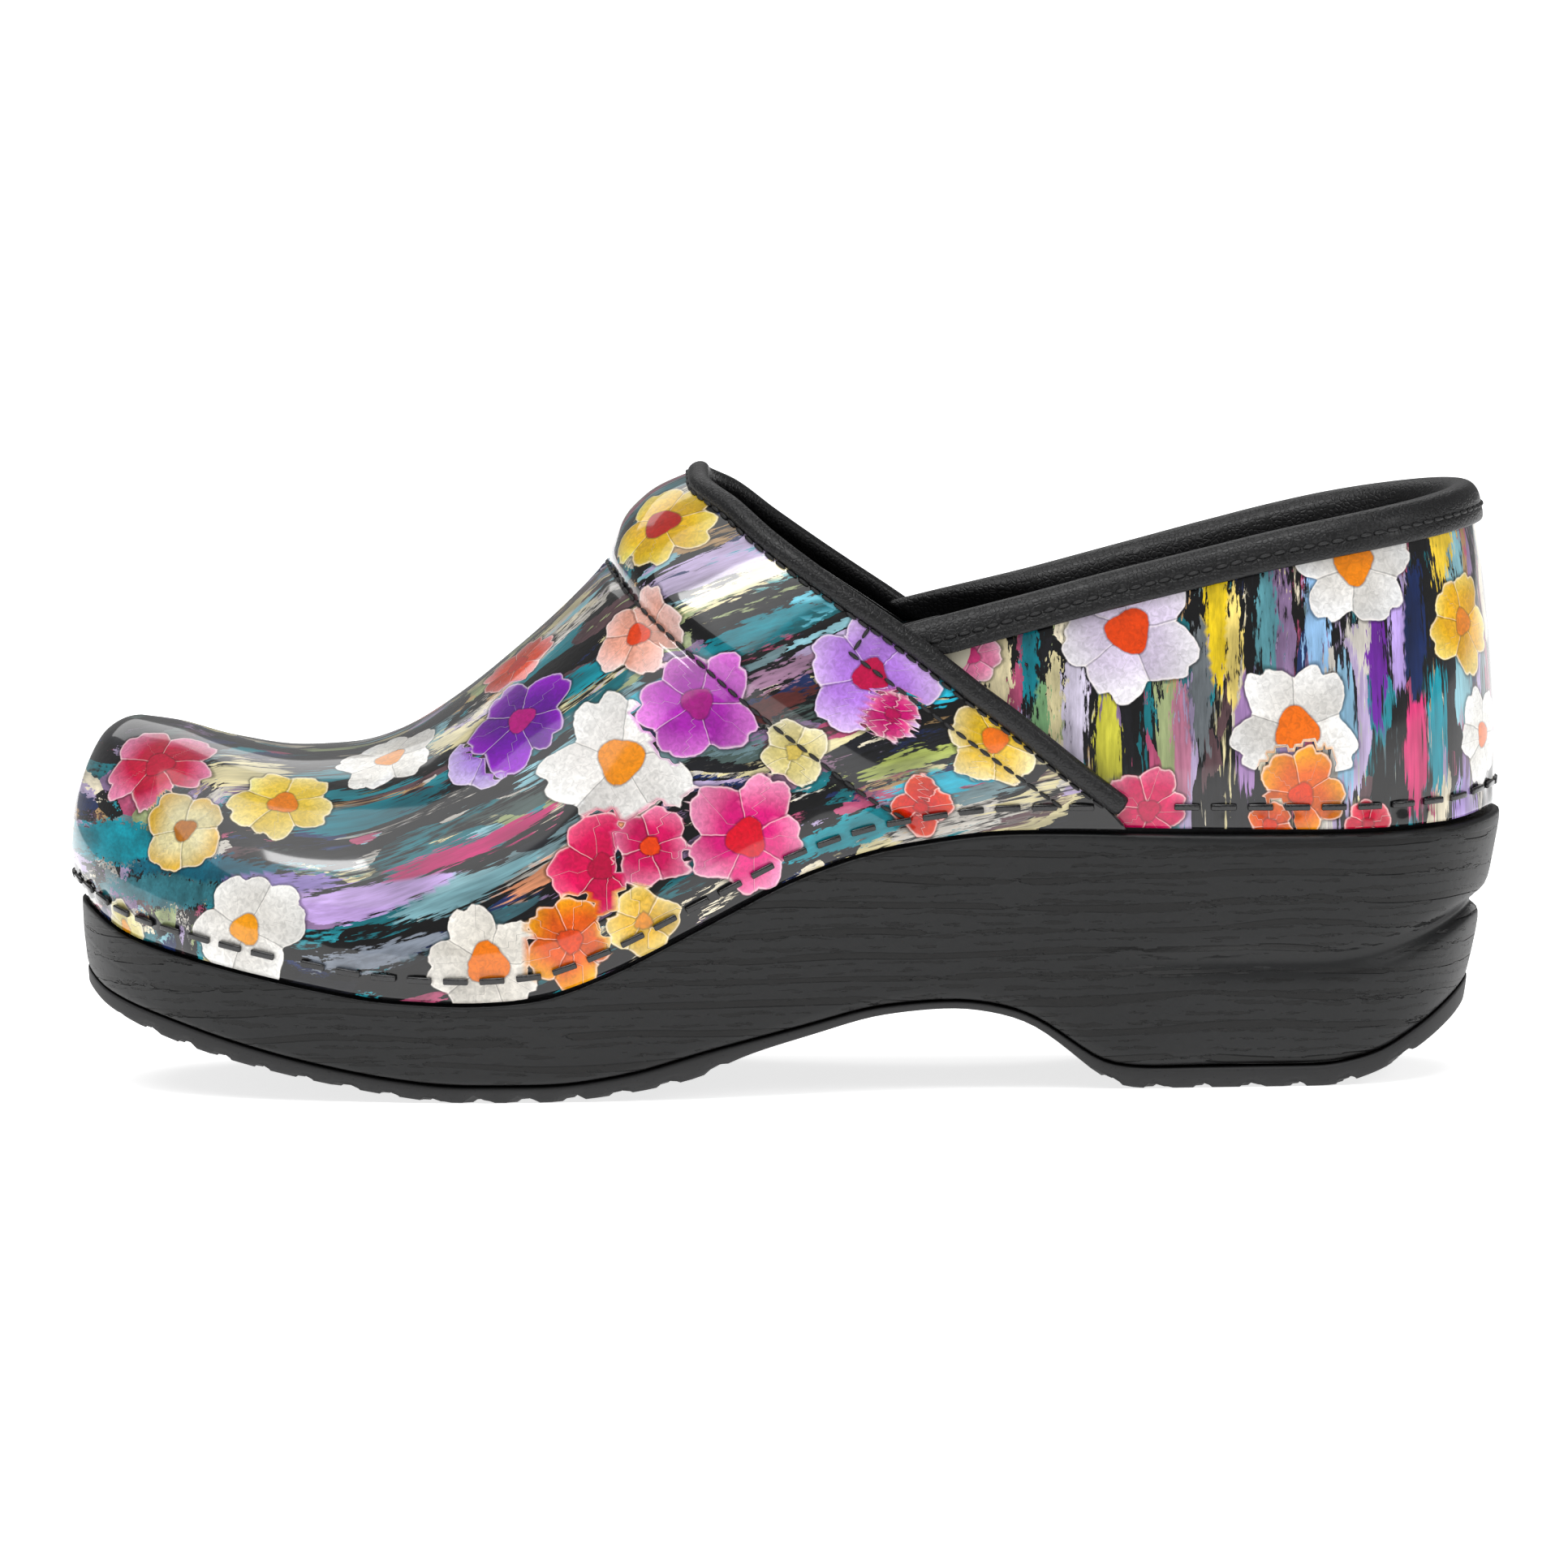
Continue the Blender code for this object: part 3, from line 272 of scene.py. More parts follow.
    def base_normal(self, p: float, s: float) -> Vector:
        """The base surface's outward unit normal."""
        step = self.normal_step
        along = self.base_point(min(p + step, 1.0), s) - self.base_point(max(p - step, 0.0), s)
        if abs(s) <= step:
            along.y = 0.0
            normal = along.cross(Vector((0.0, -1.0, 0.0))).normalized()
            return normal if normal.z > 0.0 else -normal
        reach = min(step, 1.0 - abs(s)) or step
        sign = math.copysign(1.0, s)
        low = min(abs(s) + reach, 1.0) * sign
        across = self.base_point(p, (abs(s) - reach) * sign) - self.base_point(p, low)
        normal = along.cross(across)
        if p < SPLIT or p > 1.0 - SPLIT:
            normal.y = 0.0
        point = self.base_point(p, s)
        core_x = min(max(point.x, -self.core_end_x), self.core_end_x)
        core = Vector((core_x, curve_at(self.middle_y, point.x), curve_at(self.sole_top, core_x) + self.core_lift))
        normal.normalize()
        return normal if normal.dot(point - core) > 0.0 else -normal

    def lift_at(self, point: Vector) -> float:
        """How far the instep's padding lifts the leather at a point of the base surface."""
        lift = ease((point.x - curve_at(self.instep_seam, point.z)) / self.pad_ease)
        height = point.z - curve_at(self.sole_top, point.x)
        return self.pad_rise * lift * ease(height / self.pad_foot)

    def skin(self, p: float, s: float, depth: float) -> Vector:
        """A point at a depth below the base surface."""
        return self.base_point(p, s) - self.base_normal(p, s) * depth

    def leather(self, p: float, s: float, depth: float) -> Vector:
        """A point at a depth below the vamp's outer face, padding included."""
        point = self.base_point(p, s)
        return point - self.base_normal(p, s) * (depth - self.lift_at(point))

    def share_at(self, p: float, side: float, z: float) -> float:
        """The s at which the base surface reaches height z on one side of station p."""
        foot_z = self.base_point(p, side).z
        top_z = self.base_point(p, 0.0).z
        up = min(max((z - foot_z) / (top_z - foot_z), 0.0), 1.0)
        power = 2.0 / curve_at(self.fullness, self.station_x(p))
        return side * (1.0 - math.asin(up ** (1.0 / power)) * 2.0 / math.pi)

    def edge_x(self, z: float) -> float:
        """Where the throat binding's centre lies at height z."""
        low, high = self.binding_z[0][0], self.binding_z[-1][0]
        for _ in range(24):
            middle = (low + high) / 2.0
            if curve_at(self.binding_z, middle) > z:
                low = middle
            else:
                high = middle
        return low

    def seam_x(self, z: float) -> float:
        """Where the instep seam lies at height z."""
        return curve_at(self.instep_seam, z)

    def vamp_back_x(self, z: float) -> float:
        """Where the vamp's cut edge lies at height z, under the throat binding."""
        return self.edge_x(z + self.back_drop) - self.back_setback

    def quarter_front_x(self, z: float) -> float:
        """Where the quarter's hidden front edge lies at height z."""
        (top_x, top_z), (foot_x, foot_z) = self.quarter_front
        return foot_x + (z - foot_z) * (top_x - foot_x) / (top_z - foot_z)

    def collar_height(self, x: float) -> float:
        """Height of the collar's top at a station."""
        return curve_at(self.collar_z, x)


FORM = ClogForm()


def add_sheet(bm: bmesh.types.BMesh, columns: int, rows: int,
              place: Callable[[int, int], Vector]) -> dict[tuple[int, int], bmesh.types.BMVert]:
    """Adds a grid of quads whose vertex (i, j) goes to place(i, j).

    Args:
        bm: The mesh it is added to.
        columns: How many quads one way.
        rows: How many quads the other way.
        place: Gives the point of vertex (i, j).

    Returns:
        The vertices by (i, j).
    """
    made = bmesh.ops.create_grid(bm, x_segments=columns, y_segments=rows, size=1.0)
    found = {}
    for vert in made["verts"]:
        found[round((vert.co.x + 1.0) / 2.0 * columns), round((vert.co.y + 1.0) / 2.0 * rows)] = vert
    for (i, j), vert in found.items():
        vert.co = place(i, j)
    return found


def close_mesh(bm: bmesh.types.BMesh, crease: float = 0.0) -> None:
    """Zips a mesh's sheets together, turns its faces outwards and creases its sharp edges.

    Args:
        bm: The mesh.
        crease: How strongly its sharp edges are kept when it is subdivided.
    """
    bmesh.ops.remove_doubles(bm, verts=bm.verts[:], dist=SPLIT)
    bmesh.ops.dissolve_degenerate(bm, edges=bm.edges[:], dist=SPLIT)
    bmesh.ops.recalc_face_normals(bm, faces=bm.faces[:])
    if bm.calc_volume(signed=True) < 0.0:
        bmesh.ops.reverse_faces(bm, faces=bm.faces[:])
    if crease > 0.0:
        layer = bm.edges.layers.float.new("crease_edge")
        for edge in bm.edges:
            if edge.calc_face_angle(0.0) > CUT_EDGE_ANGLE:
                edge[layer] = crease


def link_mesh(bm: bmesh.types.BMesh, name: str, material: bpy.types.Material, levels: int = 0) -> bpy.types.Object:
    """Makes a named object of a mesh, subdivided and smooth.

    Args:
        bm: The mesh, which is freed.
        name: The piece's name.
        material: Its material.
        levels: How many times it is subdivided.

    Returns:
        The object, with no modifiers left on it.
    """
    mesh = bpy.data.meshes.new(name)
    bm.to_mesh(mesh)
    bm.free()
    obj = bpy.data.objects.new(name, mesh)
    bpy.context.scene.collection.objects.link(obj)
    if levels:
        modifier = obj.modifiers.new("Subdivision", "SUBSURF")
        modifier.levels = levels
        modifier.render_levels = levels
        depsgraph = bpy.context.evaluated_depsgraph_get()
        made = bpy.data.meshes.new_from_object(obj.evaluated_get(depsgraph), preserve_all_data_layers=True,
                                               depsgraph=depsgraph)
        obj.modifiers.clear()
        obj.data = made
        bpy.data.meshes.remove(mesh)
        made.name = name
    obj.data.materials.clear()
    obj.data.materials.append(material)
    obj.data.shade_smooth()
    return obj


def shell(columns: int, rows: int, locate: Locate, outer: Callable[[float, float], Vector],
          inner: Callable[[float, float], Vector]) -> bmesh.types.BMesh:
    """A closed shell: a zipped sheet at one depth, extruded to a second.

    Args:
        columns: Quads along it.
        rows: Quads up it.
        locate: Gives (p, s) for a grid point.
        outer: Gives the outer face's point at (p, s).
        inner: Gives the inner face's point at (p, s).

    Returns:
        The mesh, whose vertices carry 1 in a layer named outer on the outer face.
    """
    bm = bmesh.new()
    tag = bm.verts.layers.int.new("place")
    side = bm.verts.layers.float.new("outer")
    spots: dict[int, Spot] = {}

    def place(i: int, j: int) -> Vector:
        spots[i * (rows + 1) + j] = locate(i, j)
        return outer(*spots[i * (rows + 1) + j])

    for (i, j), vert in add_sheet(bm, columns, rows, place).items():
        vert[tag] = i * (rows + 1) + j
        vert[side] = 1.0
    bmesh.ops.remove_doubles(bm, verts=bm.verts[:], dist=SPLIT)
    made = bmesh.ops.extrude_face_region(bm, geom=bm.faces[:], use_keep_orig=True)
    for item in made["geom"]:
        if isinstance(item, bmesh.types.BMVert):
            item.co = inner(*spots[item[tag]])
            item[side] = 0.0
    return bm


def sweep(count: int, section: Sequence[Spot], place: Callable[[int, float, float], Vector]) -> bmesh.types.BMesh:
    """A closed section carried through count steps, with both ends capped.

    Args:
        count: How many steps.
        section: The section's points, in order.
        place: Gives the point of a step for a section point.

    Returns:
        The mesh.
    """
    bm = bmesh.new()
    sides = len(section)
    found = add_sheet(bm, count, sides, lambda i, j: place(i, *section[j % sides]))
    for end in (0, count):
        bm.faces.new([found[end, j] for j in range(sides)])
    return bm


def resample(points: Sequence[tuple[Vector, Vector]], pitch: float) -> list[tuple[Vector, Vector, Vector]]:
    """Even places along a path over a surface, the first half a pitch from its start.

    Args:
        points: The path's (point, normal) pairs.
        pitch: Distance between places.

    Returns:
        A (point, direction, normal) for each place.
    """
    places = []
    run = 0.0
    target = pitch * 0.5
    for (a, na), (b, nb) in zip(points, points[1:]):
        length = (b - a).length
        while length > 0.0 and run + length >= target:
            t = (target - run) / length
            places.append((a.lerp(b, t), (b - a).normalized(), na.lerp(nb, t).normalized()))
            target += pitch
        run += length
    return places


def press(obj: bpy.types.Object, spots: Sequence[Vector], depth: float, reach: float) -> None:
    """Presses the outer face of a shell in, or out, near some spots.

    Args:
        obj: The shell, whose vertices carry the layer named outer.
        spots: The places pressed.
        depth: How far the face goes in.
        reach: How far from a spot it fades.
    """
    mesh = obj.data
    co, normals = vertex_arrays(mesh)
    outer = np.zeros(len(co), np.float32)
    mesh.attributes["outer"].data.foreach_get("value", outer)
    nearest = np.full(len(co), 1.0)
    for spot in spots:
        nearest = np.minimum(nearest, ((co - np.array(spot)) ** 2).sum(1))
    move = depth * np.exp(-nearest / reach ** 2) * (outer > 0.5)
    co -= normals * move[:, None]
    mesh.vertices.foreach_set("co", co.astype(np.float32).ravel())
    mesh.update()


def vertex_arrays(mesh: bpy.types.Mesh) -> tuple[np.ndarray, np.ndarray]:
    """A mesh's vertex places and normals."""
    co = np.zeros(len(mesh.vertices) * 3, np.float32)
    normals = np.zeros(len(mesh.vertices) * 3, np.float32)
    mesh.vertices.foreach_get("co", co)
    mesh.vertex_normals.foreach_get("vector", normals)
    return co.reshape(-1, 3).astype(float), normals.reshape(-1, 3).astype(float)


class Pattern(Enum):
    """How a plain finish is broken up at close range."""

    PEBBLE = "pebble"
    CELLS = "cells"
    FIBRE = "fibre"


@dataclass(frozen=True)
class Finish:
    """A finish of one stuff, with its grain in relief and a darker second tone in its hollows, partly its own colour
    and partly painted shade.
    """

    name: str
    tone: str
    hollow_tone_and_shade: str
    roughness: float
    grain: float
    depth: float
    pattern: Pattern = Pattern.PEBBLE
    coat: float = 0.0
    metallic: float = 0.0
    specular: float = 0.5

    def material(self) -> bpy.types.Material:
        """Builds the finish's material."""
        material, tree, shader, coordinates = start_material(self.name)
        shader.inputs["Roughness"].default_value = self.roughness
        shader.inputs["Metallic"].default_value = self.metallic
        shader.inputs["Specular IOR Level"].default_value = self.specular
        shader.inputs["Coat Weight"].default_value = self.coat
        shader.inputs["Coat Roughness"].default_value = 0.12
        stretch = (1.0, 1.0, 7.0) if self.pattern is Pattern.FIBRE else (1.0, 1.0, 1.0)
        spread = add_node(tree, "ShaderNodeMapping", {"Vector": coordinates, "Scale": stretch})
        scale = 1.0 / self.grain
        if self.pattern is Pattern.FIBRE:
            fine = add_node(tree, "ShaderNodeTexNoise", {"Vector": spread.outputs[0], "Scale": scale, "Detail": 4.0})
            height = fine.outputs["Fac"]
        else:
            feature = "SMOOTH_F1" if self.pattern is Pattern.CELLS else "DISTANCE_TO_EDGE"
            cells = add_node(tree, "ShaderNodeTexVoronoi", {"Vector": spread.outputs[0], "Scale": scale},
                             feature=feature)
            height = add_node(tree, "ShaderNodeMapRange", {0: cells.outputs["Distance"], 1: 0.0, 2: 0.22},
                              interpolation_type="SMOOTHSTEP").outputs[0]
        # Painted shade: the grain's low places take the darker second tone, which is partly the stuff's own colour.
        tones_and_shade = add_node(tree, "ShaderNodeMix", {0: height, 6: colour(self.hollow_tone_and_shade), 7: colour(self.tone)},
                         data_type="RGBA")
        cloud = add_node(tree, "ShaderNodeTexNoise", {"Vector": coordinates, "Scale": 45.0, "Detail": 3.0})
        drift = add_node(tree, "ShaderNodeMapRange", {0: cloud.outputs["Fac"], 3: 0.86, 4: 1.14})
        mixed = add_node(tree, "ShaderNodeHueSaturation", {"Value": drift.outputs[0], "Color": tones_and_shade.outputs[2]})
        tree.links.new(mixed.outputs[0], shader.inputs["Base Color"])
        bump = add_node(tree, "ShaderNodeBump", {"Height": height, "Distance": self.depth, "Strength": 0.8})
        tree.links.new(bump.outputs[0], shader.inputs["Normal"])
        return material


def start_material(name: str) -> tuple[bpy.types.Material, bpy.types.NodeTree, bpy.types.Node,
                                       bpy.types.NodeSocket]:
    """A new material with its Principled shader and Object coordinates.

    Args:
        name: The material's name.

    Returns:
        The material, its tree, its shader and the coordinate socket.
    """
    material = bpy.data.materials.new(name)
    material.use_nodes = True
    tree = material.node_tree
    shader = tree.nodes["Principled BSDF"]
    return material, tree, shader, add_node(tree, "ShaderNodeTexCoord").outputs["Object"]


@dataclass(frozen=True)
class PrintedPatent:
    """Patent leather printed with thickly painted flowers over brush strokes on black."""

    name: str = "printed_patent_leather"
    stroke_length: float = 0.034
    stroke_width: float = 0.0040
    bristle_width: float = 0.00062
    cover: float = 0.335
    relief: float = 0.00022
    paints: tuple[str, ...] = ("#0B0B0E", "#2C6F78", "#D9CFA6", "#101014", "#8FBAC4", "#8D7698", "#17181F", "#3E8C98",
                               "#E8DFC8", "#4A5A57", "#B4607C", "#121217", "#6E858A", "#BC9C74", "#26325A", "#B5A6C6",
                               "#15161A", "#9FAA80", "#C9C4BC", "#5A4448")

    def material(self) -> bpy.types.Material:
        """Builds the printed leather, whose print follows the attributes flow, form, petal, heart and dab."""
        material, tree, shader, coordinates = start_material(self.name)
        # Patent leather is coated with clear lacquer: a sharp reflection over a softer one.
        shader.inputs["Roughness"].default_value = 0.34
        shader.inputs["Specular IOR Level"].default_value = 0.20
        shader.inputs["Coat Weight"].default_value = 1.0
        shader.inputs["Coat Roughness"].default_value = 0.07
        flow = add_node(tree, "ShaderNodeAttribute", attribute_name="flow").outputs["Vector"]
        form = add_node(tree, "ShaderNodeAttribute", attribute_name="form").outputs["Vector"]
        petal = add_node(tree, "ShaderNodeAttribute", attribute_name="petal").outputs["Color"]
        heart = add_node(tree, "ShaderNodeAttribute", attribute_name="heart").outputs["Color"]
        dab = add_node(tree, "ShaderNodeAttribute", attribute_name="dab")
        parts = add_node(tree, "ShaderNodeSeparateXYZ", {0: form})
        # Bristles: streaks that run along the stroke, and break up its ends.
        streak = add_node(tree, "ShaderNodeMapping", {"Vector": flow, "Scale": (0.035, 1.0, 1.0)})
        bristle = add_node(tree, "ShaderNodeTexNoise", {"Vector": streak.outputs[0], "Scale": 1.0 / self.bristle_width,
                                                        "Detail": 3.0, "Roughness": 0.6}).outputs["Fac"]
        sway = add_node(tree, "ShaderNodeTexNoise", {"Vector": flow, "Scale": 45.0, "Detail": 1.0})
        swayed = add_node(tree, "ShaderNodeVectorMath", {0: sway.outputs["Color"], 1: (-0.5, -0.5, -0.5)})
        swung = add_node(tree, "ShaderNodeVectorMath", {0: swayed.outputs[0], 1: (0.022, 0.011, 0.015)},
                         operation="MULTIPLY")
        ragged = add_node(tree, "ShaderNodeMapRange", {0: bristle, 1: 0.3, 2: 0.7, 3: -0.0070, 4: 0.0070},
                          clamp=False)
        pull = add_node(tree, "ShaderNodeCombineXYZ", {0: ragged.outputs[0]})
        moved = add_node(tree, "ShaderNodeVectorMath", {0: flow, 1: swung.outputs[0]})
        moved = add_node(tree, "ShaderNodeVectorMath", {0: moved.outputs[0], 1: pull.outputs[0]})
        picture, cover = self.strokes(tree, moved.outputs[0], bristle, 1.0)
        second, more = self.strokes(tree, moved.outputs[0], bristle, 1.7)
        ground = add_node(tree, "ShaderNodeMix", {0: cover, 6: colour("#09090B"), 7: picture}, data_type="RGBA")
        ground = add_node(tree, "ShaderNodeMix", {0: more, 6: ground.outputs[2], 7: second}, data_type="RGBA")
        load = add_node(tree, "ShaderNodeMapping", {"Vector": flow, "Scale": (0.25, 1.0, 1.0)})
        load = add_node(tree, "ShaderNodeTexNoise", {"Vector": load.outputs[0], "Scale": 260.0, "Detail": 2.0})
        load = add_node(tree, "ShaderNodeMapRange", {0: load.outputs["Fac"], 1: 0.32, 2: 0.68, 3: 0.60, 4: 1.22})
        shade = add_node(tree, "ShaderNodeMapRange", {0: bristle, 1: 0.35, 2: 0.65, 3: 0.80, 4: 1.12})
        shade = add_node(tree, "ShaderNodeMath", {0: shade.outputs[0], 1: load.outputs[0]}, operation="MULTIPLY")
        # Dabs: single strokes in given places.
        edge = add_node(tree, "ShaderNodeMapRange", {0: bristle, 1: 0.3, 2: 0.7, 3: -1.3, 4: 1.3}, clamp=False)
        reach = add_node(tree, "ShaderNodeMath", {0: dab.outputs["Alpha"], 1: edge.outputs[0]}, operation="ADD")
        laid = add_node(tree, "ShaderNodeMapRange", {0: reach.outputs[0], 1: -0.1, 2: 0.25})
        ground = add_node(tree, "ShaderNodeMix", {0: laid.outputs[0], 6: ground.outputs[2], 7: dab.outputs["Color"]},
                          data_type="RGBA")
        ground = add_node(tree, "ShaderNodeHueSaturation", {"Value": shade.outputs[0], "Color": ground.outputs[2]})
        # Flowers: petals laid on with a knife, thick and pale at their rims.
        wobble = add_node(tree, "ShaderNodeTexNoise", {"Vector": coordinates, "Scale": 330.0, "Detail": 2.0})
        offset = add_node(tree, "ShaderNodeMapRange", {0: wobble.outputs["Fac"], 1: 0.3, 2: 0.7, 3: -0.22, 4: 0.22},
                          clamp=False)
        outline = add_node(tree, "ShaderNodeMath", {0: parts.outputs["X"], 1: offset.outputs[0]}, operation="ADD")
        inside = add_node(tree, "ShaderNodeMapRange", {0: outline.outputs[0], 1: -0.05, 2: 0.15})
        knife = add_node(tree, "ShaderNodeTexNoise", {"Vector": coordinates, "Scale": 900.0, "Detail": 3.0,
                                                      "Distortion": 1.2})
        spread = add_node(tree, "ShaderNodeMapRange", {0: knife.outputs["Fac"], 1: 0.3, 2: 0.7, 3: 0.74, 4: 1.10})
        painted = add_node(tree, "ShaderNodeHueSaturation", {"Value": spread.outputs[0], "Color": petal})
        rim = add_node(tree, "ShaderNodeValToRGB", {0: add_node(tree, "ShaderNodeMapRange",
                       {0: outline.outputs[0], 1: 0.0, 2: 2.0}).outputs[0]})
        self.ramp(rim, ((0.0, "#000000"), (0.09, "#C4C4C4"), (0.22, "#4A4A4A"), (0.36, "#000000")))
        painted = add_node(tree, "ShaderNodeMix", {0: rim.outputs[0], 6: painted.outputs[0], 7: colour("#FFF8F2")},
                           data_type="RGBA")
        # Each petal's edge lies over the next: pale on its own side, in shadow on the other.
        fold = add_node(tree, "ShaderNodeMath", {0: parts.outputs["Y"], 1: offset.outputs[0]}, operation="ADD")
        low = add_node(tree, "ShaderNodeMath", {0: fold.outputs[0], 1: 0.22}, operation="ADD")
        low = add_node(tree, "ShaderNodeMath", {0: low.outputs[0]}, operation="ABSOLUTE")
        shadow = add_node(tree, "ShaderNodeMapRange", {0: low.outputs[0], 1: 0.06, 2: 0.34, 3: 0.55, 4: 1.0})
        high = add_node(tree, "ShaderNodeMath", {0: fold.outputs[0], 1: -0.20}, operation="ADD")
        high = add_node(tree, "ShaderNodeMath", {0: high.outputs[0]}, operation="ABSOLUTE")
        crest = add_node(tree, "ShaderNodeMapRange", {0: high.outputs[0], 1: 0.0, 2: 0.24, 3: 0.50, 4: 0.0})
        painted = add_node(tree, "ShaderNodeMix", {0: crest.outputs[0], 6: painted.outputs[2], 7: colour("#FFF8F2")},
                           data_type="RGBA")
        painted = add_node(tree, "ShaderNodeHueSaturation", {"Value": shadow.outputs[0], "Color": painted.outputs[2]})
        centre = add_node(tree, "ShaderNodeMath", {0: parts.outputs["Z"], 1: offset.outputs[0]}, operation="ADD")
        core = add_node(tree, "ShaderNodeMapRange", {0: centre.outputs[0], 1: -0.05, 2: 0.20})
        pith = add_node(tree, "ShaderNodeHueSaturation", {"Value": spread.outputs[0], "Color": heart})
        painted = add_node(tree, "ShaderNodeMix", {0: core.outputs[0], 6: painted.outputs[0], 7: pith.outputs[0]},
                           data_type="RGBA")
        ring = add_node(tree, "ShaderNodeMath", {0: centre.outputs[0]}, operation="ABSOLUTE")
        groove = add_node(tree, "ShaderNodeMapRange", {0: ring.outputs[0], 1: 0.0, 2: 0.30, 3: 0.50, 4: 1.0})
        painted = add_node(tree, "ShaderNodeHueSaturation", {"Value": groove.outputs[0], "Color": painted.outputs[2]})
        full = add_node(tree, "ShaderNodeMix", {0: inside.outputs[0], 6: ground.outputs[0], 7: painted.outputs[0]},
                        data_type="RGBA")
        rind = add_node(tree, "ShaderNodeMapRange", {0: outline.outputs[0], 1: -0.55, 2: -0.05, 3: 0.0, 4: 1.0})
        rind = add_node(tree, "ShaderNodeMath", {0: rind.outputs[0], 1: inside.outputs[0]}, operation="SUBTRACT")
        dark = add_node(tree, "ShaderNodeMapRange", {0: rind.outputs[0], 3: 1.0, 4: 0.35})
        full = add_node(tree, "ShaderNodeHueSaturation", {"Value": dark.outputs[0], "Color": full.outputs[2]})
        full.inputs["Saturation"].default_value = 1.12
        outer = add_node(tree, "ShaderNodeAttribute", attribute_name="outer").outputs["Fac"]
        outer = add_node(tree, "ShaderNodeMapRange", {0: outer, 1: 0.80, 2: 0.98}).outputs[0]
        whole = add_node(tree, "ShaderNodeMix", {0: outer, 6: colour("#121213"), 7: full.outputs[0]},
                         data_type="RGBA")
        tree.links.new(whole.outputs[2], shader.inputs["Base Color"])
        # The print is a picture of thick paint, with only a trace of relief under the lacquer.
        rise = add_node(tree, "ShaderNodeMapRange", {0: outline.outputs[0], 1: -0.1, 2: 0.5},
                        interpolation_type="SMOOTHSTEP")
        crest = add_node(tree, "ShaderNodeMath", {0: rise.outputs[0], 1: bristle}, operation="ADD")
        bump = add_node(tree, "ShaderNodeBump", {"Height": crest.outputs[0], "Distance": self.relief * 0.25,
                                                 "Strength": 0.5})
        grain = add_node(tree, "ShaderNodeTexNoise", {"Vector": coordinates, "Scale": 260.0, "Detail": 3.0})
        bump = add_node(tree, "ShaderNodeBump", {"Height": grain.outputs["Fac"], "Distance": self.relief,
                                                 "Strength": 0.6, "Normal": bump.outputs[0]})
        tree.links.new(bump.outputs[0], shader.inputs["Normal"])
        return material

    def strokes(self, tree: bpy.types.NodeTree, place: bpy.types.NodeSocket, bristle: bpy.types.NodeSocket,
                finer: float) -> tuple[bpy.types.NodeSocket, bpy.types.NodeSocket]:
        """A layer of brush strokes, and where it covers.

        Args:
            tree: The material's tree.
            place: Coordinates along and across the strokes, in metres.
            bristle: The streaks.
            finer: How many times smaller than the first layer's the strokes are.

        Returns:
            The colour socket and the cover socket.
        """
        along, across = finer / self.stroke_length, finer / self.stroke_width
        scaled = add_node(tree, "ShaderNodeMapping", {"Vector": place, "Scale": (along, across, across),
                                                      "Location": (finer, finer, finer)})
        cells = add_node(tree, "ShaderNodeTexVoronoi", {"Vector": scaled.outputs[0], "Scale": 1.0})
        chosen = add_node(tree, "ShaderNodeSeparateColor", {0: cells.outputs["Color"]})
        ramp = add_node(tree, "ShaderNodeValToRGB", {0: chosen.outputs["Red"]})
        self.ramp(ramp, [(k / len(self.paints), code) for k, code in enumerate(self.paints)], "CONSTANT")
        level = add_node(tree, "ShaderNodeMath", {0: chosen.outputs["Green"], 1: bristle}, operation="ADD")
        low = 1.5 - self.cover * (1.45 if finer == 1.0 else 0.72)
        cover = add_node(tree, "ShaderNodeMapRange", {0: level.outputs[0], 1: low - 0.06, 2: low + 0.06})
        return ramp.outputs[0], cover.outputs[0]

    @staticmethod
    def ramp(node: bpy.types.Node, stops: Sequence[tuple[float, str]], blend: str = "LINEAR") -> None:
        """Sets a colour ramp's stops and how it blends between them."""
        elements = node.color_ramp.elements
        node.color_ramp.interpolation = blend
        while len(elements) < len(stops):
            elements.new(0.5)
        for element, (position, code) in zip(elements, stops):
            element.position = position
            element.color = colour(code)


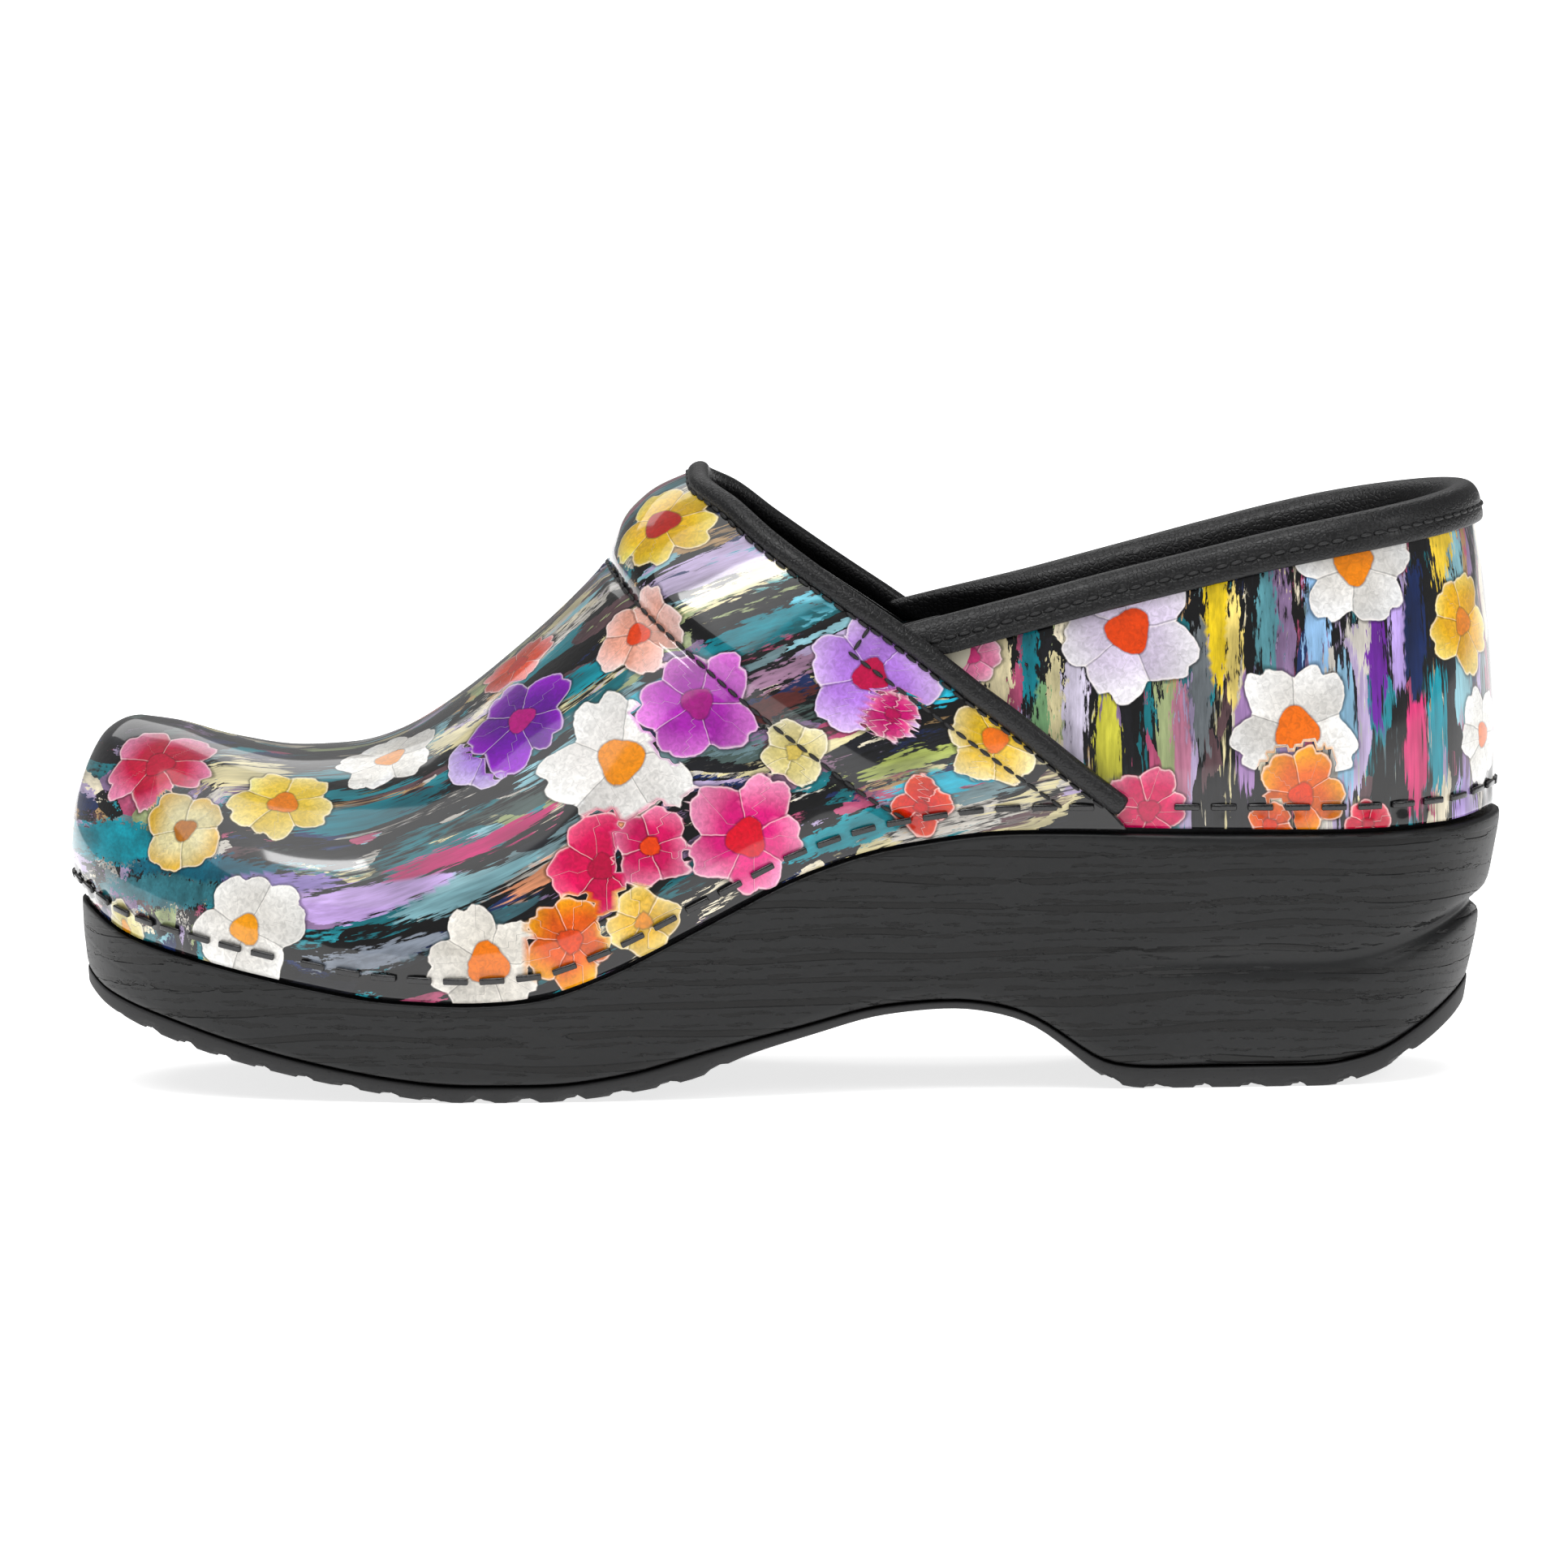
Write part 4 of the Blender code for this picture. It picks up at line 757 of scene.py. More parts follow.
@dataclass(frozen=True)
class WoodGrainSole:
    """Moulded polyurethane, satin black, with a wood grain cut in its mould and painted shade darkening its grooves.
    """

    name: str = "moulded_polyurethane"
    tone: str = "#131415"
    # The near black painted into the grain's grooves as painted shade.
    groove: str = "#020202"
    line_length: float = 0.040
    line_spacing: float = 0.0046
    depth: float = 0.0018

    def material(self) -> bpy.types.Material:
        """Builds the sole's material, whose attribute plain is 1 where the mould is smooth."""
        material, tree, shader, coordinates = start_material(self.name)
        # Polyurethane from a textured mould: satin, with a soft broad reflection.
        shader.inputs["Roughness"].default_value = 0.46
        shader.inputs["Specular IOR Level"].default_value = 0.42
        plain = add_node(tree, "ShaderNodeAttribute", attribute_name="plain").outputs["Fac"]
        warp = add_node(tree, "ShaderNodeTexNoise", {"Vector": coordinates, "Scale": 28.0, "Detail": 2.0})
        drift = add_node(tree, "ShaderNodeVectorMath", {0: warp.outputs["Color"], 1: (0.0, 0.0, 0.0016)},
                         operation="MULTIPLY")
        moved = add_node(tree, "ShaderNodeVectorMath", {0: coordinates, 1: drift.outputs[0]})
        heights = []
        height = add_node(tree, "ShaderNodeSeparateXYZ", {0: moved.outputs[0]}).outputs["Z"]
        for turn, (length, spacing, low) in enumerate(((self.line_length, self.line_spacing, 0.38),
                                                       (self.line_length * 0.5, self.line_spacing * 0.37, 0.50))):
            spread = add_node(tree, "ShaderNodeMapping", {"Vector": coordinates, "Location": (turn, turn, turn),
                              "Scale": (1.0 / length, 1.0 / length, 0.55 / spacing)})
            sway = add_node(tree, "ShaderNodeTexNoise", {"Vector": spread.outputs[0], "Scale": 0.6, "Detail": 1.0})
            level = add_node(tree, "ShaderNodeMath", {0: height, 1: 1.0 / spacing}, operation="MULTIPLY")
            level = add_node(tree, "ShaderNodeMath", {0: sway.outputs["Fac"], 1: 1.7, 2: level.outputs[0]},
                             operation="MULTIPLY_ADD")
            level = add_node(tree, "ShaderNodeMath", {0: level.outputs[0]}, operation="FRACT")
            level = add_node(tree, "ShaderNodeMath", {0: level.outputs[0], 1: 0.5}, operation="SUBTRACT")
            level = add_node(tree, "ShaderNodeMath", {0: level.outputs[0]}, operation="ABSOLUTE")
            gate = add_node(tree, "ShaderNodeTexNoise", {"Vector": spread.outputs[0], "Scale": 3.2, "Detail": 4.0,
                                                         "Roughness": 0.65})
            width = add_node(tree, "ShaderNodeMapRange", {0: gate.outputs["Fac"], 1: low, 2: low + 0.10,
                                                          3: -0.01, 4: 0.13 + 0.14 * turn})
            line = add_node(tree, "ShaderNodeMath", {0: width.outputs[0], 1: level.outputs[0]}, operation="SUBTRACT")
            heights.append(add_node(tree, "ShaderNodeMapRange", {0: line.outputs[0], 1: -0.01, 2: 0.03}).outputs[0])
        lines = add_node(tree, "ShaderNodeMath", {0: heights[0], 1: heights[1]}, operation="MAXIMUM")
        kept = add_node(tree, "ShaderNodeMath", {0: 1.0, 1: plain}, operation="SUBTRACT")
        lines = add_node(tree, "ShaderNodeMath", {0: lines.outputs[0], 1: kept.outputs[0]}, operation="MULTIPLY")
        # Painted shade: the grain's grooves are darkened towards the groove colour, on top of the bump that cuts them.
        tones_and_shade = add_node(tree, "ShaderNodeMix", {0: lines.outputs[0], 6: colour(self.tone), 7: colour(self.groove)},
                         data_type="RGBA")
        cloud = add_node(tree, "ShaderNodeTexNoise", {"Vector": coordinates, "Scale": 700.0, "Detail": 3.0})
        fade = add_node(tree, "ShaderNodeMapRange", {0: cloud.outputs["Fac"], 3: 0.80, 4: 1.20})
        mixed = add_node(tree, "ShaderNodeHueSaturation", {"Value": fade.outputs[0], "Color": tones_and_shade.outputs[2]})
        tree.links.new(mixed.outputs[0], shader.inputs["Base Color"])
        fine = add_node(tree, "ShaderNodeBump", {"Height": cloud.outputs["Fac"], "Distance": 0.00008,
                                                 "Strength": 0.6})
        bump = add_node(tree, "ShaderNodeBump", {"Height": lines.outputs[0], "Distance": self.depth, "Strength": 1.0,
                                                 "Normal": fine.outputs[0]}, invert=True)
        tree.links.new(bump.outputs[0], shader.inputs["Normal"])
        return material


@dataclass(frozen=True)
class Finishes:
    """The materials of the shoe, by the record's slot."""

    made: dict[str, bpy.types.Material] = field(default_factory=dict)

    def get(self, slot: str) -> bpy.types.Material:
        """The material of a slot, made once."""
        if slot not in self.made:
            self.made[slot] = self.recipes()[slot].material()
        return self.made[slot]

    @staticmethod
    def recipes() -> dict[str, Any]:
        """Every slot's finish, with grain sizes and depths in metres."""
        # Each finish's second colour is the darker tone of its grain's hollows: partly the stuff's own colour, partly
        # painted shade.
        return {
            "printed_leather": PrintedPatent(),
            "moulded_sole": WoodGrainSole(),
            # Aniline-dyed black calf: a fine pebbled grain with a soft sheen.
            "black_leather": Finish("black_calf", "#151517", "#0B0B0C", 0.42, 0.0009, 0.00007, coat=0.05,
                                  specular=0.40),
            # Vegetable-tanned lining leather: flatter and duller than the calf.
            "lining_leather": Finish("lining_leather", "#0F0F10", "#080809", 0.62, 0.0011, 0.00005, specular=0.3),
            "sock_leather": Finish("sock_leather", "#252527", "#141415", 0.62, 0.0013, 0.00006),
            # Vulcanised rubber: matt, with the mould's fine matting.
            "tread_rubber": Finish("tread_rubber", "#222223", "#151516", 0.62, 0.0008, 0.00005, Pattern.CELLS),
            # Injection-moulded polypropylene: satin with a spark-eroded texture.
            "frame_plastic": Finish("frame_polypropylene", "#35363A", "#242528", 0.55, 0.0006, 0.00005, Pattern.CELLS),
            # Foam with ground cork in it: rounded warm grains.
            "footbed_foam": Finish("cork_foam", "#B98A56", "#6E4A2A", 0.88, 0.0026, 0.00030, Pattern.CELLS),
            # Bonded cellulose board: matted fibres.
            "stiffener": Finish("cellulose_board", "#C9BC9C", "#A08F6C", 0.85, 0.0016, 0.00010, Pattern.FIBRE),
            # Open-celled foam: small round pores.
            "foam": Finish("open_foam", "#CFC9B4", "#8F8A78", 0.95, 0.0012, 0.00030, Pattern.CELLS),
            # Bonded polyester thread: waxed, with a trace of its twist.
            "thread": Finish("polyester_thread", "#1B1B1D", "#0C0C0D", 0.45, 0.0004, 0.00008, Pattern.FIBRE),
            # Staple wire under black lacquer: hard and glossy.
            "lacquered_steel": Finish("lacquered_steel", "#1A1A1C", "#0E0E0F", 0.24, 0.0011, 0.00003, coat=0.6,
                                      metallic=0.3),
        }


@dataclass(frozen=True)
class Bloom:
    """A painted flower: its place and size in millimetres, its paints and its petals."""

    place: tuple[float, float, float]
    size: float
    petal: str
    tip: str
    heart: str
    petals: int = 5
    turn: float = 0.0
    core: float = 0.27


@dataclass(frozen=True)
class Dab:
    """A single brush stroke: where it is across the shoe, half its length and width in millimetres, its paint."""

    place: tuple[float, float]
    length: float
    width: float
    paint: str


VAMP_BLOOMS = (
    Bloom((-114, -14, 60), 9.4, "#D8344F", "#F29ABB", "#C2183C", 5, 0.4),
    Bloom((-109, -27, 49), 7.6, "#EDE3B4", "#E0B860", "#B5712E", 4, 0.9),
    Bloom((-91, -26, 54), 9.4, "#F4D56B", "#F9E9A4", "#E9842A", 5, 0.1),
    Bloom((-72, -16, 61), 9.4, "#F4F1EA", "#FBFAF6", "#F09A3C", 5, 0.6),
    Bloom((-48, -12, 77), 7.9, "#E8604A", "#F0A0A0", "#C93A2E", 5, 0.3),
    Bloom((-54, -30, 62), 6.8, "#B99AE6", "#D9C8F4", "#A883DE", 3, 2.6, 0.05),
    Bloom((-48, -29, 68), 9.8, "#6B1FA0", "#9B49C8", "#B51B7D", 5, 0.5),
    Bloom((-30, -42, 62), 12.8, "#F6F3EF", "#FFFEFB", "#F0932B", 5, 0.2, 0.31),
    Bloom((-26, -31, 84), 8.2, "#F2B3A0", "#F6D2CC", "#E4604C", 5, 0.8),
    Bloom((-16, -40, 72), 9.8, "#B044B4", "#DB82D6", "#A0147E", 5, 0.0),
    Bloom((16, -39, 77), 11.2, "#B98AE0", "#DCC0F0", "#C0264F", 5, 0.7),
    Bloom((2, -42, 63), 5.6, "#E9DA96", "#F2E9BC", "#D9C272", 4, 0.4),
    Bloom((38, -39, 64), 8.2, "#F0C95A", "#F7E9B4", "#EE7A35", 5, 0.9),
    Bloom((-33, -48, 43), 8.6, "#D8305A", "#EE6E8E", "#B81E44", 4, 0.2),
    Bloom((-24, -48, 47), 6.4, "#E04A74", "#F08AAC", "#E8502E", 4, 1.1),
    Bloom((-6, -47, 48), 10.2, "#E85590", "#F6A0C4", "#DC3A45", 5, 0.5, 0.33),
    Bloom((-98, -39, 32), 9.8, "#F5F2EC", "#FDFCF8", "#F2A23C", 4, 0.3),
    Bloom((-54, -50, 26), 9.6, "#F3EEE4", "#FDF9F0", "#EF7F2C", 5, 0.0, 0.36),
    Bloom((-39, -50, 30), 8.0, "#EE6A35", "#F6B25A", "#E24E24", 5, 0.6),
    Bloom((-26, -49, 33), 5.8, "#EFC25A", "#F3D98E", "#E2923A", 4, 0.3),
    Bloom((25, -40, 53), 5.0, "#E0342E", "#F0604A", "#C81E1E", 4, 0.1),
    Bloom((-22, -18, 103), 9.8, "#F2C23E", "#F9E27C", "#B52218", 5, 0.5, 0.34),
    Bloom((20, -40, 69), 4.6, "#D0457F", "#E880A8", "#B52258", 4, 0.4),
    Bloom((-120, -19, 30), 5.2, "#EBDD92", "#F6EFC4", "#E0A050", 4, 0.2),
)

QUARTER_BLOOMS = (
    Bloom((63, -30, 83), 11.4, "#E6DAF0", "#FAF6FC", "#E4502C", 5, 0.2, 0.33),
    Bloom((78, -30, 90), 6.0, "#D83A66", "#E8608A", "#C02048", 4, 0.8),
    Bloom((104, -30, 95), 10.0, "#F2EFEA", "#FFFFFF", "#EE8A2C", 5, 0.9, 0.33),
    Bloom((93, -35, 65), 10.6, "#F2EFEA", "#FFFEFC", "#F0762E", 5, 0.3, 0.35),
    Bloom((94, -35, 53), 7.8, "#F0702E", "#F4A84A", "#E2441E", 5, 0.5),
    Bloom((124, -18, 83), 8.4, "#F0B640", "#F8DC80", "#E8892E", 5, 0.4),
    Bloom((128, -14, 62), 8.0, "#F0EEE8", "#FEFEFC", "#EE7A35", 5, 0.1),
    Bloom((66, -35, 51), 6.8, "#E03A6A", "#F07A9A", "#C22050", 5, 0.6),
    Bloom((35, -32, 79), 5.0, "#EE8FB2", "#F8BCD2", "#D85A8A", 4, 0.2),
    Bloom((88, -35, 48), 4.2, "#EE5A2A", "#F4803A", "#D83A1A", 4, 0.9),
    Bloom((106, -33, 48), 4.2, "#D83A50", "#E86A78", "#B81E38", 4, 0.3),
)

VAMP_DABS = (
    Dab((-121, 46), 6, 4.0, "#2B8E9E"), Dab((-106, 42), 9, 2.6, "#1E5E72"), Dab((-78, 51), 11, 2.2, "#1F7684"),
    Dab((-57, 46), 12, 1.9, "#C24A7A"), Dab((-38, 45), 8, 2.2, "#E8A584"), Dab((-80, 36), 13, 3.0, "#B9A0D2"),
    Dab((-92, 40), 7, 1.8, "#8C7CB4"), Dab((-58, 39), 8, 2.6, "#7FA6AE"), Dab((-23, 74), 4, 2.4, "#5FC3D8"),
    Dab((5, 97), 7, 2.4, "#5F9FA4"), Dab((8, 90), 8, 2.6, "#7CC8DA"), Dab((-4, 85), 9, 2.4, "#2C7F8C"),
    Dab((-5, 94), 10, 2.0, "#EBE0B8"), Dab((23, 61), 6, 2.0, "#A9B46A"), Dab((29, 57), 7, 2.4, "#4FB4CC"),
    Dab((14, 49), 9, 3.0, "#2E9AA8"), Dab((2, 78), 8, 1.8, "#9C7C94"), Dab((-2, 57), 7, 2.2, "#8C6E84"),
    Dab((-5, 70), 8, 2.2, "#5E3230"), Dab((27, 73), 5, 2.0, "#4FB4CC"), Dab((-100, 58), 6, 2.0, "#E6DCB4"),
    Dab((-60, 31), 11, 2.0, "#3C5A62"), Dab((-112, 38), 6, 3.2, "#3A6E78"), Dab((-74, 27), 9, 2.2, "#8C94A0"),
    Dab((-36, 76), 8, 2.0, "#2C8A98"), Dab((-56, 66), 6, 1.6, "#D9CFA6"),
)

QUARTER_DABS = (
    Dab((39, 76), 8, 2.6, "#E9DDB8"), Dab((45, 81), 8, 1.6, "#2C7F8C"), Dab((79, 86), 8, 2.2, "#F0D25A"),
    Dab((82, 80), 8, 1.4, "#EFD98A"), Dab((97, 84), 8, 2.2, "#9CC0E4"), Dab((88, 84), 7, 2.0, "#5E8F98"),
    Dab((108, 77), 9, 1.6, "#6E3C96"), Dab((112, 82), 8, 1.4, "#B9A3DC"), Dab((115, 61), 8, 2.2, "#D85A84"),
    Dab((119, 64), 8, 1.8, "#2B8E9E"), Dab((115, 82), 9, 2.0, "#1E2C56"), Dab((76, 72), 9, 2.0, "#6E7478"),
    Dab((59, 62), 7, 2.4, "#C4C05A"), Dab((124, 48), 4, 2.2, "#B9A3DC"), Dab((120, 99), 5, 2.0, "#EBCB62"),
    Dab((53, 70), 8, 2.2, "#C9C2D4"), Dab((102, 66), 9, 2.0, "#8FB4CC"), Dab((84, 64), 7, 2.0, "#A888B8"),
    Dab((47, 64), 7, 1.8, "#7FA87C"), Dab((72, 62), 8, 1.8, "#B87E94"),
)

GUSSET_PLACES = ((-104, 10, 64, 7.0), (-84, 14, 58, 7.5), (-63, 10, 67, 8.0), (-58, 30, 57, 8.5), (-40, 8, 86, 7.0))
"""Flowers along the top, beyond the ridge: place and size in millimetres."""


@dataclass
class Print:
    """The picture on the leather, laid on a shell's vertices."""

    blooms: Sequence[Bloom]
    dabs: Sequence[Dab]
    upright: bool
    seed: int
    sweep: Curve = ((-0.130, 0.0), (-0.085, 0.0), (-0.055, 0.008), (-0.020, 0.027), (0.020, 0.042), (0.060, 0.050))
    wrap_start: float = -0.128
    wrap_length: float = 0.026
    toe_share: float = 0.12
    quarter_shift: float = 0.3
    petal_reach: float = 0.54
    petal_width: float = 0.45
    overlap: float = 0.7
    swell: float = 1.10

    def lay_on(self, obj: bpy.types.Object) -> None:
        """Gives a shell the attributes that its printed leather reads."""
        mesh = obj.data
        co, normals = vertex_arrays(mesh)
        stations = np.linspace(-0.135, 0.135, 271)
        rise = np.interp(co[:, 0], stations, [curve_at(self.sweep, x) for x in stations])
        if self.upright:
            flow = np.stack([co[:, 2], co[:, 0] + self.quarter_shift, co[:, 1]], 1)
        else:
            wrap = np.clip((co[:, 0] - self.wrap_start) / self.wrap_length, 0.0, 1.0)
            share = self.toe_share + (1.0 - self.toe_share) * wrap
            flow = np.stack([co[:, 0], co[:, 1] * share, co[:, 2] - rise], 1)
        form = np.full((len(co), 3), -9.0)
        petal = np.ones((len(co), 4))
        heart = np.ones((len(co), 4))
        for bloom in self.both_sides():
            self.add_bloom(bloom, co, normals, (form, petal, heart))
        dab = self.brush(co, flow, rise)
        for name, kind, values in (("flow", "FLOAT_VECTOR", flow), ("form", "FLOAT_VECTOR", form),
                                   ("petal", "FLOAT_COLOR", petal), ("heart", "FLOAT_COLOR", heart),
                                   ("dab", "FLOAT_COLOR", dab)):
            made = mesh.attributes.new(name, kind, "POINT")
            made.data.foreach_set("vector" if kind == "FLOAT_VECTOR" else "color", values.astype(np.float32).ravel())

    def both_sides(self) -> list[Bloom]:
        """The outer side's flowers, with others on the inner side in the same places and other paints."""
        rng = np.random.default_rng(self.seed)
        order = rng.permutation(len(self.blooms))
        found = list(self.blooms)
        for bloom, other in zip(self.blooms, order):
            x, y, z = bloom.place
            paints = self.blooms[other]
            shift = rng.uniform(-3.0, 3.0, 2)
            found.append(Bloom((x + shift[0], -y + 4.0, z + shift[1]), bloom.size, paints.petal, paints.tip,
                               paints.heart, 5, float(rng.uniform(0.0, 1.2)), bloom.core))
        if not self.upright:
            for (x, y, z, size), other in zip(GUSSET_PLACES, order):
                paints = self.blooms[other]
                found.append(Bloom((x, y, z), size, paints.petal, paints.tip, paints.heart, 5,
                                   float(rng.uniform(0.0, 1.2))))
        return found

    def add_bloom(self, bloom: Bloom, co: np.ndarray, normals: np.ndarray,
                  layers: tuple[np.ndarray, np.ndarray, np.ndarray]) -> None:
        """Paints one flower over what is there.

        Args:
            bloom: The flower.
            co: The vertices' places.
            normals: The vertices' normals.
            layers: The form, petal and heart values, which are changed.
        """
        form, petal, heart = layers
        rng = np.random.default_rng(self.seed + int(abs(bloom.place[0] * 13 + bloom.place[2] * 7)))
        place = np.array(bloom.place) * MM
        middle = int(np.argmin(((co - place) ** 2).sum(1)))
        normal = normals[middle]
        size = bloom.size * self.swell
        radius = size * MM
        rel = co - co[middle]
        distance = np.sqrt((rel ** 2).sum(1))
        near = np.where((distance < radius * 1.7) & (normals @ normal > 0.1))[0]
        first = np.cross(normal, (0.0, 0.0, 1.0))
        first /= max(np.linalg.norm(first), SPLIT)
        second = np.cross(normal, first)
        u, v = rel[near] @ first, rel[near] @ second
        flat = np.hypot(u, v) + SPLIT
        rho = distance[near] / radius
        u, v = u / flat * rho, v / flat * rho
        angle = np.arctan2(v, u)
        fields = []
        leans = []
        for k in range(bloom.petals):
            turn = bloom.turn + 2.0 * math.pi * k / bloom.petals + rng.uniform(-0.14, 0.14)
            reach = self.petal_reach * rng.uniform(0.86, 1.08)
            wide = self.petal_width * 5.0 / bloom.petals * rng.uniform(0.92, 1.08)
            pu = u * math.cos(turn) + v * math.sin(turn)
            pv = v * math.cos(turn) - u * math.sin(turn)
            bite = 0.024 * np.sin(7.0 * angle + rng.uniform(0.0, 6.0)) + 0.012 * np.sin(13.0 * angle)
            notch = 0.09 * np.exp(-((pv - rng.uniform(-0.08, 0.08)) / 0.09) ** 2) * (pu > 0.6)
            q = np.sqrt(((pu - reach) / reach) ** 2 + (pv / wide) ** 2)
            fields.append((1.0 - q) * wide + bite - notch)
            leans.append(pv / wide)
        ranked = np.array(fields)
        order = np.argsort(ranked, axis=0)
        top = order[-1]
        index = np.arange(len(near))
        outline = ranked[top, index]
        ahead = (order[-2] - top) % bloom.petals == 1
        margin = np.clip((outline - ranked[order[-2], index]) * np.where(ahead, 1.0, -1.0), -0.3, 0.3)
        lean = np.array(leans)[top, index]
        core = bloom.core * (1.0 + 0.12 * np.sin(3.0 * angle + rng.uniform(0.0, 6.0))) - rho
        outline = np.maximum(outline, core)
        tints = rng.uniform(0.72, 1.10, bloom.petals)[top]
        mix = np.clip((rho - 0.50) / 0.50 + 0.35 * lean, 0.0, 1.0)[:, None]
        paint = (1.0 - mix) * np.array(colour(bloom.petal)) + mix * np.array(colour(bloom.tip))
        paint[:, :3] *= (tints * (1.0 + 0.14 * lean))[:, None]
        over = (outline * size > -self.overlap) | (outline * size > form[near, 0])
        chosen = near[over]
        form[chosen] = np.stack([outline, margin, core], 1)[over] * size
        petal[chosen] = np.clip(paint[over], 0.0, 1.0)
        heart[chosen] = colour(bloom.heart)

    def brush(self, co: np.ndarray, flow: np.ndarray, rise: np.ndarray) -> np.ndarray:
        """The single strokes, as a paint with the distance inside its edge in its last value."""
        dab = np.zeros((len(co), 4))
        dab[:, 3] = -9.0
        rng = np.random.default_rng(self.seed + 1)
        order = rng.permutation(len(self.dabs))
        for side in (-1.0, 1.0):
            half = np.sign(co[:, 1] + SPLIT) == side
            for k, stroke in enumerate(self.dabs):
                paint = stroke.paint if side < 0.0 else self.dabs[order[k]].paint
                x, z = stroke.place[0] * MM, stroke.place[1] * MM
                along, across = (co[:, 0] - x), (co[:, 2] - rise - z + curve_at(self.sweep, x))
                if self.upright:
                    along, across = co[:, 2] - z, co[:, 0] - x
                along, across = along / MM, across / MM
                width = stroke.width * (1.0 - 0.35 * np.clip(np.abs(along) / stroke.length, 0.0, 1.0) ** 2)
                inside = width - np.hypot(np.maximum(np.abs(along) - stroke.length, 0.0) * 0.35, across)
                over = half & ((inside > 0.0) | (inside > dab[:, 3]))
                dab[over, 3] = inside[over]
                dab[over, :3] = colour(paint)[:3]
        return dab


def dress_node(node: str, material: bpy.types.Material) -> None:
    """Gives a CAD node its finish."""
    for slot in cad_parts[node].material_slots:
        slot.material = material


def settle(piece: bpy.types.Object, slot: str, *nodes: str) -> None:
    """Fixes a piece to the shoe.

    Args:
        piece: The piece.
        slot: The record's material slot; not used.
        *nodes: The CAD nodes that it stands for.
    """
    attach(piece, ROOT)
    if nodes:
        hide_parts(*nodes)
    LOG.info("%s: %d faces", piece.name, len(piece.data.polygons))


@dataclass
class VampGrid:
    """Places over the vamp: columns fan from the toe to the instep seam and to the back edge."""

    back_x: Callable[[float], float]
    fan_x: float = -0.060
    fan: int = 38
    seam: int = 52
    back: int = 64
    rows: int = 22
    turns: int = 8
    ends: dict[float, tuple[float, float]] = field(default_factory=dict)

    def column_x(self, column: float, z: float) -> float:
        """The station's x on a column at height z."""
        if column <= self.fan:
            return self.fan_x
        if column <= self.seam:
            share = (column - self.fan) / (self.seam - self.fan)
            return self.fan_x + (FORM.seam_x(z) - self.fan_x) * share
        share = (column - self.seam) / (self.back - self.seam)
        return FORM.seam_x(z) + (self.back_x(z) - FORM.seam_x(z)) * share

    def column_ends(self, column: float) -> tuple[float, float]:
        """Heights of the base surface where a fanned column meets the sole and the ridge."""
        if column not in self.ends:
            foot_z, top_z = 0.040, 0.095
            for _ in range(self.turns):
                foot_z = FORM.base_point(FORM.foot_station(self.column_x(column, foot_z)), -1.0).z
                top_z = FORM.base_point(FORM.foot_station(self.column_x(column, top_z)), 0.0).z
            self.ends[column] = foot_z, top_z
        return self.ends[column]

    def spot(self, column: float, row: float, side: float) -> Spot:
        """(p, s) of a grid point: columns run from the sole (row 0) up to the ridge."""
        share = row / self.rows
        if column <= self.fan:
            return FORM.foot_station(self.fan_x) * column / self.fan, side * (1.0 - share)
        foot_z, top_z = self.column_ends(column)
        power = 2.0 / curve_at(FORM.fullness, self.column_x(column, top_z))
        z = foot_z + (top_z - foot_z) * math.sin(share * math.pi / 2.0) ** power
        p = FORM.foot_station(self.column_x(column, z))
        if row == 0:
            return p, side
        return (p, 0.0) if row == self.rows else (p, FORM.share_at(p, side, z))

    def locate(self, i: int, j: int) -> Spot:
        """(p, s) of a sheet's grid point, from the outer side's back round the toe to the inner side's."""
        return self.spot(abs(i - self.back), j, -1.0 if i <= self.back else 1.0)

    def path(self, column: float, low: float, steps: int) -> list[tuple[Vector, Vector]]:
        """Points and normals on the leather along a column, from side to side over the ridge."""
        found = []
        for k in range(-steps, steps + 1):
            side = -1.0 if k <= 0 else 1.0
            row = low + (self.rows - low) * (1.0 - abs(k) / steps)
            p, s = self.spot(column, row, side)
            found.append((FORM.leather(p, s, 0.0), FORM.base_normal(p, s)))
        return found


@dataclass
class Margin:
    """Even places along the upper's margin, above the sole's edge."""

    pitch: float = 0.0067
    height: float = 0.0042
    breaks: tuple[float, float, float] = (-0.090, 0.056, 0.072)
    steps: int = 160

    def places(self, side: float, row: str) -> list[tuple[Vector, Vector, Vector]]:
        """The staples' places, directions and normals in one row."""
        toe_end, vamp_end, heel_start = (FORM.station_of(x) for x in self.breaks)
        start, end = {"toe": (0.0, toe_end), "vamp": (toe_end, vamp_end), "heel": (1.0, heel_start)}[row]
        depth = FORM.quarter_depth if row == "heel" else 0.0
        path = []
        for k in range(self.steps + 1):
            p = start + (end - start) * k / self.steps
            s = FORM.share_at(p, side, FORM.base_point(p, side).z + self.height)
            surface = FORM.skin if row == "heel" else FORM.leather
            path.append((surface(p, s, depth), FORM.base_normal(p, s)))
        return resample(path, self.pitch)


